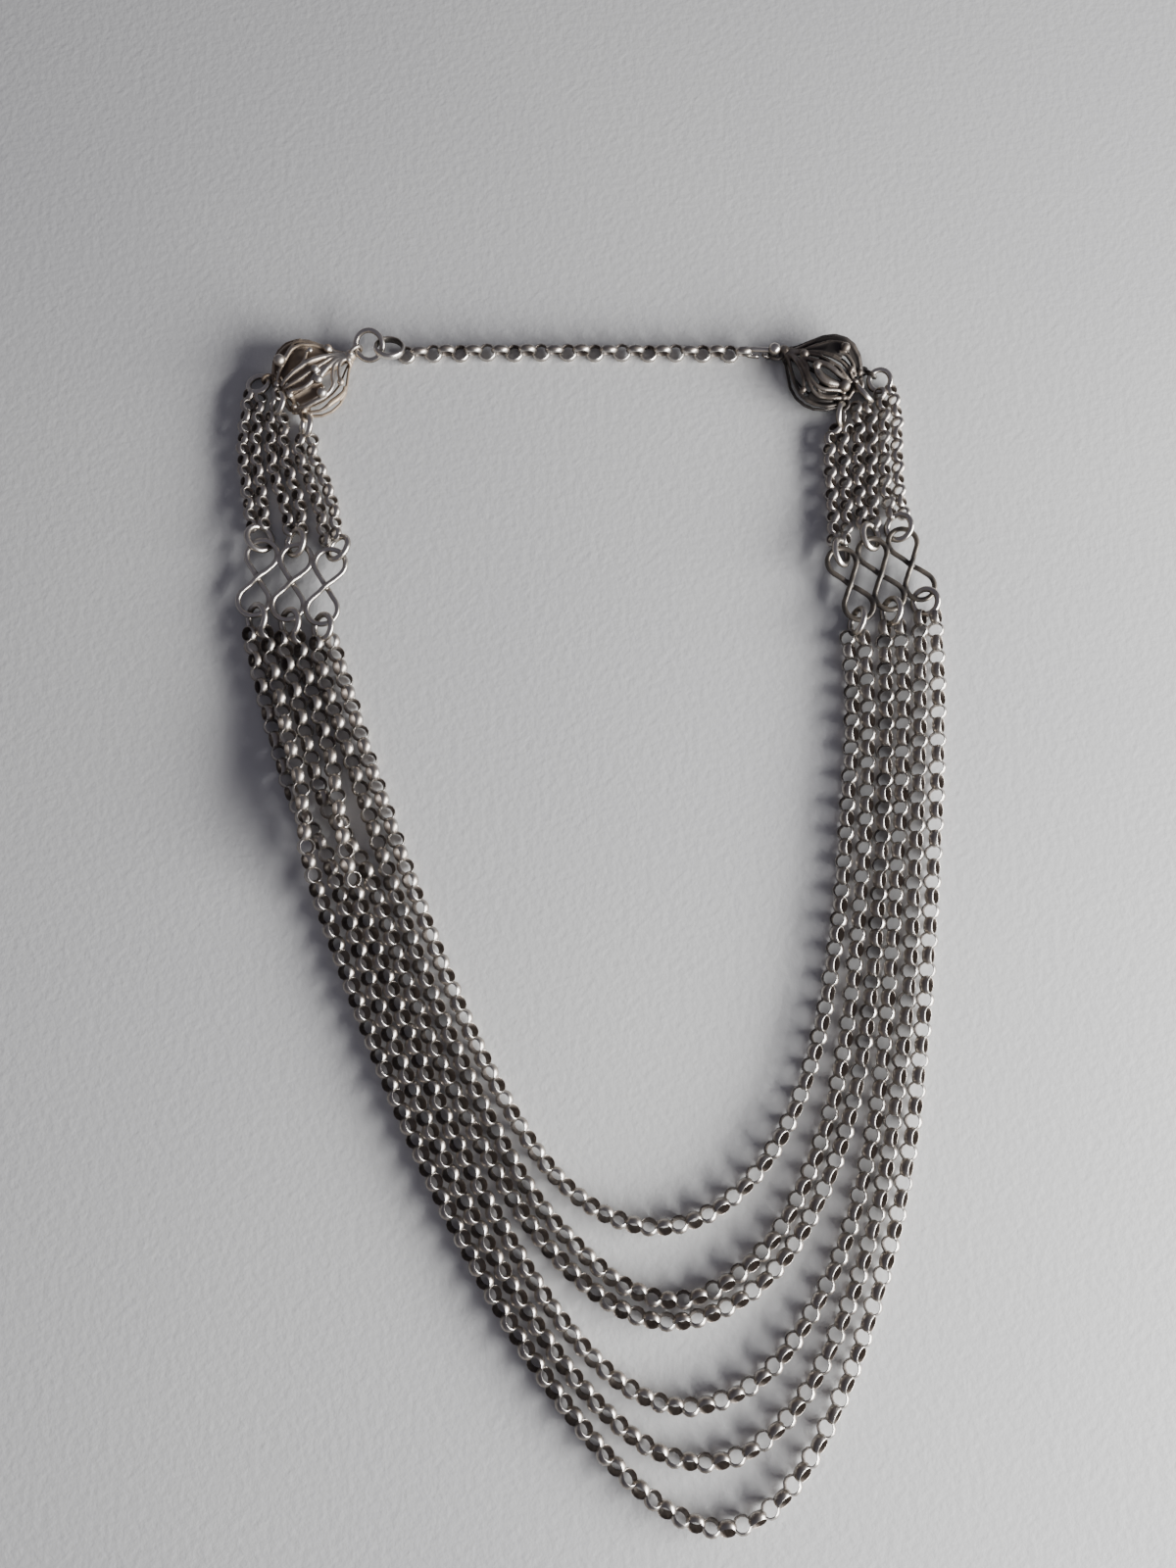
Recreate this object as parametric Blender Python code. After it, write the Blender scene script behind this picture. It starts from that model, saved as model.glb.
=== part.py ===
"""Multi-strand silver chain necklace, lying as it does on a table.

Metres, +Z up, +Y from the strands towards the back chain, and the table at z = 0.
Two openwork bud ornaments carry six short chains each. A row of three soldered
figure-eight links takes these on to six long strands, which hang in nested curves.
"""
import math

import bmesh
import bpy
from mathutils import Matrix, Vector

mm = 0.001

# Gap left where metal would touch metal, and under a chain's tube
CLEARANCE = 0.3 * mm
FLOOR_GAP = 0.03 * mm

# Moves the whole piece so that the middle of its bounding box is the origin
TO_MIDDLE = Vector((0.22 * mm, 0.47 * mm, 0.0))

# Chains: the tube stands for the links, which are 4.0 mm (long) and 3.3 mm (short) across
STRAND_TUBE = 2.8 * mm
SHORT_TUBE = 2.2 * mm
BACK_TUBE = 2.8 * mm
STRAND_PAIR_PITCH = 3.3 * mm
SHORT_PAIR_PITCH = 2.65 * mm
POINT_STEP = 3.0

# Jump rings, outside diameters and their wire
RING_WIRE = 1.05 * mm
UPPER_RING = 6.45 * mm
LOWER_RING = 6.35 * mm
BUD_RING = 5.5 * mm
BUD_RING_WIRE = 0.95 * mm

# Figure-eight links: wire, height of the row's middle plane above the table
EIGHT_WIRE = 1.05 * mm
EIGHT_LEVEL = 2.1 * mm
EIGHT_SOLDER = 0.75 * mm
EIGHT_JOIN = 0.27 * mm

# Bud ornaments
BUD_LENGTH = 18.0 * mm
BUD_HALF_WIDTH = 9.0 * mm
BUD_RISE = 4.6 * mm
RIM_CENTRE = Vector((0.42 * BUD_LENGTH, 0, 0))
RIM_INSIDE = 0.86
BUD_RIM_HEIGHT = 1.0 * mm
BUD_RIB = 0.95 * mm
EYELET = 3.0 * mm
EYELET_WIRE = 0.7 * mm
TIP_EYE = 3.6 * mm
TIP_EYE_WIRE = 0.75 * mm
TIP_EYE_LEVEL = TIP_EYE / 2 + 0.15 * mm

# Fastening
CLASP_RING = 7.1 * mm
CLASP_RING_WIRE = 0.95 * mm
CATCH_RING = 6.9 * mm
CATCH_WALL = 0.75 * mm
CATCH_BAND = 1.5 * mm
HOOK_WIRE = 1.1 * mm
HOOK_BEND = 1.3 * mm
HOOK_LENGTH = 3.8 * mm

# Outline of a bud: share of the length, share of the half width, share of the rise
BUD_SECTIONS = [
    # along, half width, rise
    (0.00, 0.34, 0.42),
    (0.08, 0.60, 0.62),
    (0.17, 0.82, 0.80),
    (0.30, 0.97, 0.95),
    (0.42, 1.00, 1.00),
    (0.55, 0.94, 0.94),
    (0.67, 0.78, 0.78),
    (0.78, 0.51, 0.57),
    (0.87, 0.28, 0.38),
    (0.94, 0.16, 0.27),
    (1.00, 0.11, 0.22),
]

# Ribs of each bud, each from the tip to the base: share of the length and degrees over
# the dome from its ridge, the bud's own left side, seen from base to tip, counted up
LEFT_RIBS = [
    [(0.97, 6), (0.80, 10), (0.67, 8), (0.53, 9), (0.38, 9), (0.27, 8), (0.19, 6), (0.09, 8)],
    [(0.97, -2), (0.80, 1), (0.67, -13), (0.56, -21), (0.46, -24), (0.30, -26), (0.09, -24)],
    [(0.97, -8), (0.75, -29), (0.62, -38), (0.51, -47), (0.40, -48), (0.32, -48), (0.15, -54), (0.09, -56)],
    [(0.97, -14), (0.82, -30), (0.76, -50), (0.66, -76), (0.49, -65), (0.32, -70), (0.09, -72)],
    [(0.60, -4), (0.50, -8), (0.40, -9), (0.32, -11), (0.22, -10), (0.09, -9)],
    [(0.97, 12), (0.79, 39), (0.60, 42), (0.45, 40), (0.28, 38), (0.09, 36)],
    [(0.97, 18), (0.75, 60), (0.55, 64), (0.35, 62), (0.09, 58)],
]
RIGHT_RIBS = [
    [(0.97, 18), (0.84, 32), (0.72, 49), (0.57, 59), (0.41, 68), (0.26, 69), (0.09, 74)],
    [(0.97, 4), (0.75, 8), (0.61, 31), (0.45, 47), (0.34, 51), (0.17, 50), (0.09, 48)],
    [(0.75, 8), (0.56, 27), (0.43, 39), (0.31, 38), (0.15, 33), (0.09, 32)],
    [(0.75, 4), (0.62, -1), (0.51, -4), (0.32, 0), (0.19, 4), (0.09, 4)],
    [(0.62, 0), (0.51, 13), (0.39, 21), (0.27, 23), (0.17, 22), (0.09, 19)],
    [(0.97, -5), (0.70, -10), (0.55, -13), (0.35, -13), (0.17, -8), (0.09, -9)],
    [(0.97, -12), (0.71, -19), (0.60, -29), (0.46, -30), (0.27, -29), (0.09, -24)],
    [(0.97, -20), (0.75, -50), (0.60, -62), (0.40, -66), (0.20, -66), (0.09, -64)],
]

# Granules: share of the length, degrees over the dome, radius in mm
LEFT_GRANULES = [
    # along, angle, radius
    (0.20, 44, 1.25),
    (0.79, 39, 0.90),
    (0.60, 38, 0.75),
    (0.50, -8, 0.85),
    (0.46, -24, 0.95),
    (0.42, -40, 1.00),
    (0.68, -54, 0.75),
]
RIGHT_GRANULES = [
    # along, angle, radius
    (0.74, 4, 0.90),
    (0.52, 14, 0.80),
    (0.52, 52, 0.70),
    (0.35, -37, 1.00),
    (0.13, 17, 1.15),
]

# Each bud: the middle of its base, the turn of its tip from +X, the eye at its tip as
# mm sunk in the tip and across, with its roll, and its eyelets as shares of the length
# and half width, with the mm that the ring in each hangs above lying, its heading and roll
BUDS = {
    "left": {
        "base": (-66.4, 104.8), "turn": 34.0, "tip": (0.5, 0.0, 90.0), "ribs": LEFT_RIBS, "granules": LEFT_GRANULES,
        "rings": [
            # along, across, lift, heading, roll
            (-0.006, 0.567, 0.57, -150.0, 18.0),
            (0.0, 0.033, 0.69, -92.0, 46.0),
            (0.122, -0.8, 0.06, -86.0, 55.0),
        ],
    },
    "right": {
        "base": (58.2, 106.4), "turn": 148.0, "tip": (0.9, 1.7, 8.0), "ribs": RIGHT_RIBS, "granules": RIGHT_GRANULES,
        "rings": [
            # along, across, lift, heading, roll
            (-0.067, -0.567, 0.57, -37.0, 18.0),
            (0.0, -0.067, 0.42, -52.0, -62.0),
            (0.017, 0.533, 0.05, -102.0, -66.0),
        ],
    },
}

# Rows of three figure-eight links: middle, turn, length and width of one link, and its
# jump rings as (degrees round the end loop, reach past the loop, lift above lying, roll)
EIGHT_ROWS = {
    "left": {
        "middle": (-62.0, 62.7), "turn": -7.5, "length": 17.65, "width": 7.55,
        "upper": [(101, 0.6, 0.03, 36), (93, 0.45, 0.05, -40), (66, 0.6, 0.03, -36)],
        "lower": [(-77, 0.65, 0.05, 38), (-80, 0.65, 0.05, 38), (-85, 0.65, 0.05, 38)],
    },
    "right": {
        "middle": (62.0, 64.5), "turn": 18.5, "length": 17.25, "width": 7.15,
        "upper": [(94, -1.05, 0.03, 50), (94, 0.45, 0.03, 41), (101, 0.45, 0.03, -38)],
        "lower": [(-101, 0.7, 0.05, 72), (-89, 0.6, 0.05, 62), (-75, 0.6, 0.05, 38)],
    },
}

# Long strands, innermost first: the points that each lies through, in mm as x, y and,
# where it rides over its neighbour, the lift above its lying height
STRANDS = [
    {
        "left": (2, 1), "right": (0, -1),
        "points": [
            (-49.8, 40.0), (-44.8, 25.0), (-39.3, 10.0), (-33.6, -5.0), (-27.4, -20.0), (-20.4, -35.0),
            (-11.6, -50.0), (-4.0, -59.0), (4.0, -64.4), (12.5, -66.6), (21.0, -65.2), (29.0, -60.4),
            (36.0, -52.5), (42.0, -41.5), (46.5, -28.0), (49.8, -12.0), (51.8, 2.0), (53.2, 16.0),
            (54.4, 28.0), (55.0, 40.0),
        ],
    },
    {
        "left": (2, -1), "right": (0, 1),
        "points": [
            (-53.9, 40.0), (-48.8, 26.0), (-43.1, 10.0), (-37.6, -5.0), (-31.8, -20.0), (-24.9, -35.0),
            (-17.0, -50.0), (-8.2, -63.5), (3.0, -74.4), (10.0, -78.4), (17.0, -79.8), (24.0, -78.0),
            (31.0, -73.4), (37.2, -66.8), (43.0, -56.5), (47.9, -44.0), (51.2, -30.0), (53.6, -15.0),
            (55.4, 0.0), (56.9, 14.0), (57.8, 28.0), (58.3, 40.0),
        ],
    },
    {
        "left": (1, -1), "right": (1, -1),
        "points": [
            (-60.6, 40.0), (-56.8, 26.0), (-53.4, 16.0), (-49.6, 10.0), (-44.9, 3.0), (-41.4, -5.0),
            (-35.7, -20.0), (-29.0, -35.0), (-21.2, -50.0), (-12.0, -64.5), (-2.5, -75.0), (7.0, -81.6),
            (16.0, -83.7), (25.0, -81.7), (33.0, -77.0), (40.2, -69.0), (46.5, -58.0), (51.5, -45.0),
            (55.0, -30.0), (57.3, -15.0), (59.0, 0.0), (60.4, 14.0), (61.5, 28.0), (62.0, 40.0),
        ],
    },
    {
        "left": (1, 1), "right": (1, 1),
        "points": [
            (-57.2, 40.0), (-52.7, 26.0, 0.2), (-50.3, 16.0, 1.8), (-48.9, 10.0, 3.2), (-47.9, 4.0, 3.0),
            (-46.4, -1.5, 1.0), (-45.0, -6.0), (-39.4, -20.0), (-32.9, -35.0), (-25.6, -50.0), (-17.2, -65.0),
            (-7.4, -80.0), (1.8, -90.6), (10.0, -96.4), (18.0, -98.6), (26.0, -97.2), (34.0, -92.6),
            (41.5, -83.8), (48.5, -71.5), (53.6, -57.0), (57.0, -42.0), (59.2, -27.0), (61.1, -12.0),
            (62.55, 2.0), (63.95, 15.0), (64.9, 28.0), (65.7, 40.0),
        ],
    },
    {
        "left": (0, -1), "right": (2, -1),
        "points": [
            (-67.3, 40.0), (-64.0, 29.0), (-60.6, 19.0), (-57.4, 12.5), (-53.0, 6.0), (-48.7, -5.0),
            (-43.0, -20.0), (-36.8, -35.0), (-29.7, -50.0), (-21.7, -65.0), (-12.4, -80.0), (-3.6, -92.0),
            (4.5, -100.4), (12.5, -106.0), (21.0, -108.2), (29.5, -106.6), (37.5, -100.6), (44.5, -91.0),
            (51.2, -77.0), (56.6, -61.0), (60.2, -44.0), (62.8, -29.0), (64.7, -14.0), (66.0, 1.0),
            (67.3, 14.0), (68.4, 28.0), (69.1, 40.0),
        ],
    },
    {
        "left": (0, 1), "right": (2, 1),
        "points": [
            (-64.0, 40.0, 0.4), (-60.9, 29.0, 1.6), (-57.8, 19.0, 2.6), (-56.6, 12.0, 3.2), (-56.0, 6.0, 2.6),
            (-54.6, 0.0, 0.8), (-52.8, -5.5), (-47.0, -20.0), (-40.6, -35.0), (-33.6, -50.0), (-25.8, -65.0),
            (-17.0, -80.0), (-8.8, -92.0), (0.5, -103.6), (9.0, -112.0), (17.5, -117.6), (26.0, -119.4),
            (34.0, -116.2), (41.0, -108.4), (47.4, -97.4), (53.6, -83.0), (59.0, -67.0), (63.2, -49.0),
            (66.2, -30.0), (68.3, -13.0), (69.9, 2.0), (71.2, 15.0), (72.2, 28.0), (72.9, 40.0),
        ],
    },
]

# Short chains from the rings on a bud down to the rings above the figure-eights, from
# left to right: ring and side at the top, ring and side at the bottom, and mm points
SHORT_CHAINS = {
    "left": [
        (0, -1, 0, -1, [(-73.8, 98.5), (-73.9, 92.0), (-73.0, 86.0), (-72.1, 80.5)]),
        (0, 1, 0, 1, [(-71.1, 98.5), (-71.2, 92.0), (-70.0, 86.0), (-69.2, 80.5)]),
        (1, -1, 1, -1, [(-68.0, 97.0), (-67.8, 92.0), (-66.6, 86.0), (-64.5, 80.5)]),
        (1, 1, 1, 1, [(-65.4, 97.0), (-65.0, 92.0), (-63.2, 86.0), (-61.2, 80.5)]),
        (2, -1, 2, -1, [(-61.9, 91.5), (-59.9, 87.0), (-58.0, 82.0), (-56.6, 78.0)]),
        (2, 1, 2, 1, [(-58.9, 91.5), (-56.6, 87.0), (-54.8, 82.0), (-53.6, 78.0)]),
    ],
    "right": [
        (2, -1, 0, -1, [(52.3, 94.5), (52.2, 88.0), (52.3, 82.0), (52.5, 77.0)]),
        (2, 1, 0, 1, [(55.2, 95.5), (55.3, 88.0), (55.3, 82.0), (55.4, 77.0)]),
        (1, -1, 1, -1, [(58.8, 98.0), (58.3, 92.0), (58.2, 86.0), (58.3, 81.0)]),
        (1, 1, 1, 1, [(61.6, 98.0), (61.1, 92.0), (61.0, 86.0), (61.0, 81.0)]),
        (0, -1, 2, -1, [(64.3, 100.5), (64.0, 94.5), (63.9, 88.0), (63.9, 83.5)]),
        (0, 1, 2, 1, [(67.1, 100.5), (66.8, 94.5), (66.8, 88.0), (66.8, 83.5)]),
    ],
}

# Heading of each ring's loaded side, where its chains leave it
LOWER_EXITS = {"left": (-84, -88, -82), "right": (-92, -86, -84)}
UPPER_EXITS = {"left": (100, 96, 122), "right": (92, 94, 92)}
BUD_EXITS = {"left": (-104, -96, -90), "right": (-68, -95, -92)}

# Fastening. The clasp ring hangs from the left tip eye: its heading from there, how far
# its wire passes beyond the eye's middle, its rise above the eye, its turn and roll.
# The catch ring does the same from the clasp ring, with how far the two rings reach into
# each other. The hook goes from the right tip eye.
CLASP_HEADING = 15.9
CLASP_SLACK = 0.1 * mm
CLASP_RISE = 0.85 * mm
CLASP_TILT = (-25.0, 28.0)
CATCH_HEADING = -10.0
CATCH_REACH = 1.6 * mm
CATCH_RISE = 0.25 * mm
CATCH_TILT = (-14.0, -25.0)
HOOK_SLACK = 0.07 * mm
HOOK_TURN = -3.0

# Points that the back chain passes, in mm
BACK_CHAIN = [(-30.0, 115.6), (-15.0, 115.7), (0.0, 115.7), (15.0, 115.6), (28.0, 115.5)]

SILVER = (0.56, 0.55, 0.53, 1.0)
DARK_SILVER = (0.33, 0.32, 0.30, 1.0)


def clear_scene():
    """Remove whatever objects the open file holds."""
    for thing in list(bpy.data.objects):
        bpy.data.objects.remove(thing, do_unlink=True)


def silver(name, colour, roughness):
    """A plain metal material."""
    material = bpy.data.materials.new(name)
    material.use_nodes = True
    shader = material.node_tree.nodes["Principled BSDF"]
    shader.inputs["Base Color"].default_value = colour
    shader.inputs["Metallic"].default_value = 1.0
    shader.inputs["Roughness"].default_value = roughness
    return material


def heading(degrees):
    """Unit vector on the table."""
    return Vector((math.cos(math.radians(degrees)), math.sin(math.radians(degrees)), 0.0))


def ring_frame(centre, turn, roll):
    """Frame of a ring: X along its heading, Y rolled about X, Z its axle."""
    matrix = Matrix.Rotation(math.radians(turn), 4, "Z") @ Matrix.Rotation(math.radians(roll), 4, "X")
    return Matrix.Translation(centre) @ matrix


def smooth_route(points, step):
    """Even points, step apart, on a smooth curve through the given ones."""
    fine = []
    ends = [points[0] * 2 - points[1]] + points + [points[-1] * 2 - points[-2]]
    for a, b, c, d in zip(ends, ends[1:], ends[2:], ends[3:]):
        for share in range(16):
            t = share / 16
            fine.append(0.5 * (2 * b + (c - a) * t + (2 * a - 5 * b + 4 * c - d) * t * t
                               + (3 * b - a - 3 * c + d) * t * t * t))
    fine.append(points[-1])
    lengths = [0.0]
    for one, two in zip(fine, fine[1:]):
        lengths.append(lengths[-1] + (two - one).length)
    count = max(3, round(lengths[-1] / step))
    route = []
    at = 0
    for number in range(count + 1):
        goal = lengths[-1] * number / count
        while at < len(fine) - 2 and lengths[at + 1] < goal:
            at += 1
        share = (goal - lengths[at]) / (lengths[at + 1] - lengths[at])
        route.append(fine[at].lerp(fine[at + 1], share))
    return route


def lying(outer, wire, roll):
    """Height of the middle of a rolled ring that lies on the table."""
    return (outer - wire) / 2 * abs(math.sin(math.radians(roll))) + wire / 2


def wire_curve(name, routes, diameter, resolution):
    """Curve data for round wire along each (points, closed) route."""
    curve = bpy.data.curves.new(name, "CURVE")
    curve.dimensions = "3D"
    curve.bevel_depth = diameter / 2
    curve.bevel_resolution = resolution
    curve.resolution_u = 1
    curve.render_resolution_u = 0
    curve.use_fill_caps = True
    for points, closed in routes:
        spline = curve.splines.new("POLY")
        spline.points.add(len(points) - 1)
        for spot, point in zip(spline.points, points):
            spot.co = (*point, 1.0)
        spline.use_cyclic_u = closed
    return curve


def wire_mesh(name, routes, diameter, resolution):
    """The same wires as one closed mesh each."""
    helper = bpy.data.objects.new(name, wire_curve(name, routes, diameter, resolution))
    bpy.context.scene.collection.objects.link(helper)
    graph = bpy.context.evaluated_depsgraph_get()
    mesh = bpy.data.meshes.new_from_object(helper.evaluated_get(graph))
    bpy.data.objects.remove(helper, do_unlink=True)
    bm = bmesh.new()
    bm.from_mesh(mesh)
    bmesh.ops.remove_doubles(bm, verts=bm.verts, dist=1e-6)
    return finish_mesh(name, bm)


def add_object(name, data, material, matrix=None):
    """Link one named piece."""
    piece = bpy.data.objects.new(name, data)
    data.materials.clear()
    data.materials.append(material)
    bpy.context.scene.collection.objects.link(piece)
    if matrix is not None:
        piece.matrix_world = matrix
    return piece


def round_off(mesh):
    """Shade a mesh smooth with its corners kept."""
    mesh.shade_smooth()
    mesh.set_sharp_from_angle(angle=math.radians(50))


def finish_mesh(name, bm):
    """Turn a bmesh into a mesh whose faces point out."""
    bmesh.ops.recalc_face_normals(bm, faces=bm.faces)
    mesh = bpy.data.meshes.new(name)
    bm.to_mesh(mesh)
    bm.free()
    round_off(mesh)
    return mesh


def ring_mesh(name, outer, wire, around=14):
    """A round jump ring about the Z axis."""
    bm = bmesh.new()
    profile = bmesh.ops.create_circle(bm, segments=6, radius=wire / 2)["verts"]
    place = Matrix.Translation((outer / 2 - wire / 2, 0, 0)) @ Matrix.Rotation(math.pi / 2, 4, "X")
    bmesh.ops.transform(bm, matrix=place, verts=profile)
    bmesh.ops.spin(bm, geom=bm.verts[:] + bm.edges[:], cent=(0, 0, 0), axis=(0, 0, 1),
                   angle=math.tau, steps=around, use_merge=True)
    return finish_mesh(name, bm)


def band_ring_mesh(name, outer, wall, band, around=18):
    """A ring with a flat band, its outside a little domed."""
    bm = bmesh.new()
    inner = outer / 2 - wall
    crown = outer / 2
    shoulder = crown - 0.25 * wall
    outline = [(inner, -band / 2), (shoulder, -band / 2), (crown, -band / 6), (crown, band / 6),
               (shoulder, band / 2), (inner, band / 2)]
    verts = [bm.verts.new((x, 0, z)) for x, z in outline]
    for one, two in zip(verts, verts[1:] + verts[:1]):
        bm.edges.new((one, two))
    bmesh.ops.spin(bm, geom=bm.verts[:] + bm.edges[:], cent=(0, 0, 0), axis=(0, 0, 1),
                   angle=math.tau, steps=around, use_merge=True)
    return finish_mesh(name, bm)


def unite(name, meshes, material, matrix):
    """One solid from meshes that overlap: the first is kept, the rest are joined to it."""
    helper_bm = bmesh.new()
    for mesh in meshes[1:]:
        helper_bm.from_mesh(mesh)
    helper = add_object(name + "_joined", finish_mesh(name + "_joined", helper_bm), material, matrix)
    helper.hide_render = True
    helper.display_type = "WIRE"
    piece = add_object(name, meshes[0], material, matrix)
    join = piece.modifiers.new("solder", "BOOLEAN")
    join.operation = "UNION"
    join.solver = "EXACT"
    join.use_self = True
    join.object = helper
    return piece


def ball(bm, centre, radius, rings=5):
    """A granule of silver."""
    bmesh.ops.create_uvsphere(bm, u_segments=8, v_segments=rings, radius=radius,
                              matrix=Matrix.Translation(centre))


def eight_path(length, width):
    """Middle line of one figure-eight: two round ends and two straight crossing runs."""
    radius = width / 2 - EIGHT_WIRE / 2
    middle = length / 2 - EIGHT_WIRE / 2 - radius
    lean = math.asin(radius / middle)
    points = []
    for end in (1, -1):
        for step in range(11):
            angle = -lean + (math.pi + 2 * lean) * step / 10
            points.append(Vector((radius * math.cos(angle), end * (middle + radius * math.sin(angle)), 0)))
        run = Vector((-radius * math.cos(lean), end * (middle - radius * math.sin(lean)), 0))
        under = -1 if end == 1 else 1
        for share in (0.35, 0.5, 0.65):
            lift = under * 0.47 * EIGHT_WIRE * (1.0 if share == 0.5 else 0.75)
            points.append(run * (1 - 2 * share) + Vector((0, 0, lift)))
    return points, radius, middle


def eight_row(side, material):
    """Three figure-eight links soldered side by side, and where their end loops are."""
    row = EIGHT_ROWS[side]
    length, width = row["length"] * mm, row["width"] * mm
    path, radius, middle = eight_path(length, width)
    pitch = width - EIGHT_JOIN
    places = [Vector(((number - 1) * pitch, 0, 0)) for number in range(3)]
    wires = [([spot + place for spot in path], True) for place in places]
    solder = bmesh.new()
    for one, two in zip(places, places[1:]):
        for end in (middle, -middle):
            ball(solder, (one + two) / 2 + Vector((0, end, 0)), EIGHT_SOLDER, 4)
    frame = ring_frame((row["middle"][0] * mm, row["middle"][1] * mm, EIGHT_LEVEL), row["turn"], 0)
    unite("figure_eights_" + side,
          [wire_mesh("eights", wires, EIGHT_WIRE, 1), finish_mesh("solder", solder)], material, frame)
    loops = {"upper": [], "lower": []}
    for place in places:
        loops["upper"].append(frame @ (place + Vector((0, middle, 0))))
        loops["lower"].append(frame @ (place - Vector((0, middle, 0))))
    return loops, radius


def row_rings(side, level, loops, radius, material):
    """The jump rings that hold the end loops of a row."""
    outer = UPPER_RING if level == "upper" else LOWER_RING
    mesh = ring_mesh("jump_ring_%s_%s" % (level, side), outer, RING_WIRE)
    rings = []
    for number, (angle, reach, lift, roll) in enumerate(EIGHT_ROWS[side][level]):
        centre = loops[number] + heading(angle) * (radius + reach * mm)
        centre.z = lying(outer, RING_WIRE, roll) + lift * mm
        name = "jump_ring_%s_%s_%d" % (level, side, number + 1)
        add_object(name, mesh, material, ring_frame(centre, angle, roll))
        rings.append((centre, outer))
    return rings


def bud_point(along, angle, half_width=BUD_HALF_WIDTH, rise=BUD_RISE):
    """A point on the dome of a bud, from its share of the length and its angle over the dome."""
    for (x0, w0, h0), (x1, w1, h1) in zip(BUD_SECTIONS, BUD_SECTIONS[1:]):
        if along <= x1:
            break
    share = (along - x0) / (x1 - x0)
    width = (w0 + (w1 - w0) * share) * (half_width - BUD_RIB / 2)
    height = (h0 + (h1 - h0) * share) * rise
    turn = math.radians(angle)
    return Vector((along * BUD_LENGTH, width * math.sin(turn), BUD_RIB / 2 + height * math.cos(turn)))


def bud_rim():
    """The flat rim that the bud lies on, as a closed band with an onion outline."""
    outside = []
    for step in range(15):
        spot = bud_point(step / 14, 90)
        outside.append(Vector((spot.x, spot.y + BUD_RIB / 2, 0)))
    loop = [Vector((spot.x, -spot.y, 0)) for spot in outside] + list(reversed(outside))
    bm = bmesh.new()
    outer = [bm.verts.new(spot) for spot in loop]
    inner = [bm.verts.new(RIM_CENTRE + (spot - RIM_CENTRE) * RIM_INSIDE) for spot in loop]
    count = len(loop)
    for at in range(count):
        after = (at + 1) % count
        bm.faces.new((outer[at], outer[after], inner[after], inner[at]))
    raised = bmesh.ops.extrude_face_region(bm, geom=bm.faces[:])["geom"]
    lifted = [vert for vert in raised if isinstance(vert, bmesh.types.BMVert)]
    bmesh.ops.translate(bm, verts=lifted, vec=(0, 0, BUD_RIM_HEIGHT))
    return finish_mesh("rim", bm)


def bud_frame(side):
    """Frame of a bud: its base is the origin, and +X goes to its tip."""
    x, y = BUDS[side]["base"]
    return ring_frame((x * mm, y * mm, 0), BUDS[side]["turn"], 0)


def tip_place(side):
    """Middle of the eye at a bud's tip, in the bud's frame."""
    sunk, across, _ = BUDS[side]["tip"]
    return Vector((BUD_LENGTH + TIP_EYE / 2 - sunk * mm, across * mm, TIP_EYE_LEVEL))


def bud(side, material):
    """One openwork bud with its ribs, granules, tip eye and base eyelets."""
    plan = BUDS[side]
    frame = bud_frame(side)
    ribs = []
    for marks in plan["ribs"]:
        line = smooth_route([Vector((100 * along, angle, 0)) for along, angle in marks], 12.0)
        ribs.append(([bud_point(spot.x / 100, spot.y) for spot in line], False))
    beads = bmesh.new()
    for along, angle, radius in plan["granules"]:
        ball(beads, bud_point(along, angle), radius * mm)
    ball(beads, Vector((0.98 * BUD_LENGTH, 0, 1.3 * mm)), 1.25 * mm)
    metal = [bud_rim(), wire_mesh("ribs", ribs, BUD_RIB, 1), wire_mesh("collar", [bud_collar()], 1.5 * BUD_RIB, 1)]
    tip = ring_mesh("tip_eye", TIP_EYE, TIP_EYE_WIRE, 12)
    tip.transform(ring_frame(tip_place(side), 0, plan["tip"][2]))
    metal.append(tip)
    rings = []
    for along, across, lift, turn, roll in plan["rings"]:
        level = lying(BUD_RING, BUD_RING_WIRE, roll) + lift * mm
        eye = Vector((along * BUD_LENGTH, across * BUD_HALF_WIDTH, level))
        local_turn = turn - plan["turn"]
        eyelet = ring_mesh("eyelet", EYELET, EYELET_WIRE, 10)
        eyelet.transform(ring_frame(eye, local_turn, roll + 90))
        metal.append(eyelet)
        root = eye - heading(local_turn) * (EYELET / 2 + 0.35 * mm)
        ball(beads, Vector((root.x, root.y, 0.7 * eye.z)), 1.1 * mm)
        centre = frame @ (eye + heading(local_turn) * (BUD_RING / 2 - BUD_RING_WIRE / 2))
        rings.append((centre, BUD_RING))
        name = "jump_ring_bud_%s_%d" % (side, len(rings))
        add_object(name, ring_mesh(name, BUD_RING, BUD_RING_WIRE), material, ring_frame(centre, turn, roll))
    metal.append(finish_mesh("beads", beads))
    unite("bud_ornament_" + side, metal, material, frame)
    return rings


def bud_collar():
    """The bar across the base that the ribs end in."""
    return [bud_point(0.10, angle) for angle in (-86, -60, -30, 0, 30, 60, 86)], False


def ring_exit(ring, exit_heading, side, tube, pitch):
    """Where a chain's tube ends beside a ring."""
    centre, outer = ring
    out = heading(exit_heading)
    across = Vector((-out.y, out.x, 0)) * (side * pitch / 2)
    if out.y < 0:
        across = -across
    spot = centre + out * (outer / 2 + CLEARANCE + 0.15 * mm) - across
    spot.z = max(min(centre.z, 1.5 * tube / 2), tube / 2)
    return spot


def chain_tube(name, start, points, end, tube, material):
    """One chain as a tube through its route's points."""
    middle = [Vector((p[0] * mm, p[1] * mm, tube / 2 + (p[2] * mm if len(p) > 2 else 0))) for p in points]
    route = smooth_route([start] + middle + [end], POINT_STEP * tube)
    for spot in route:
        spot.z = max(spot.z, tube / 2 + FLOOR_GAP)
    add_object(name, wire_curve(name, [(route, False)], tube, 2), material)


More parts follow.
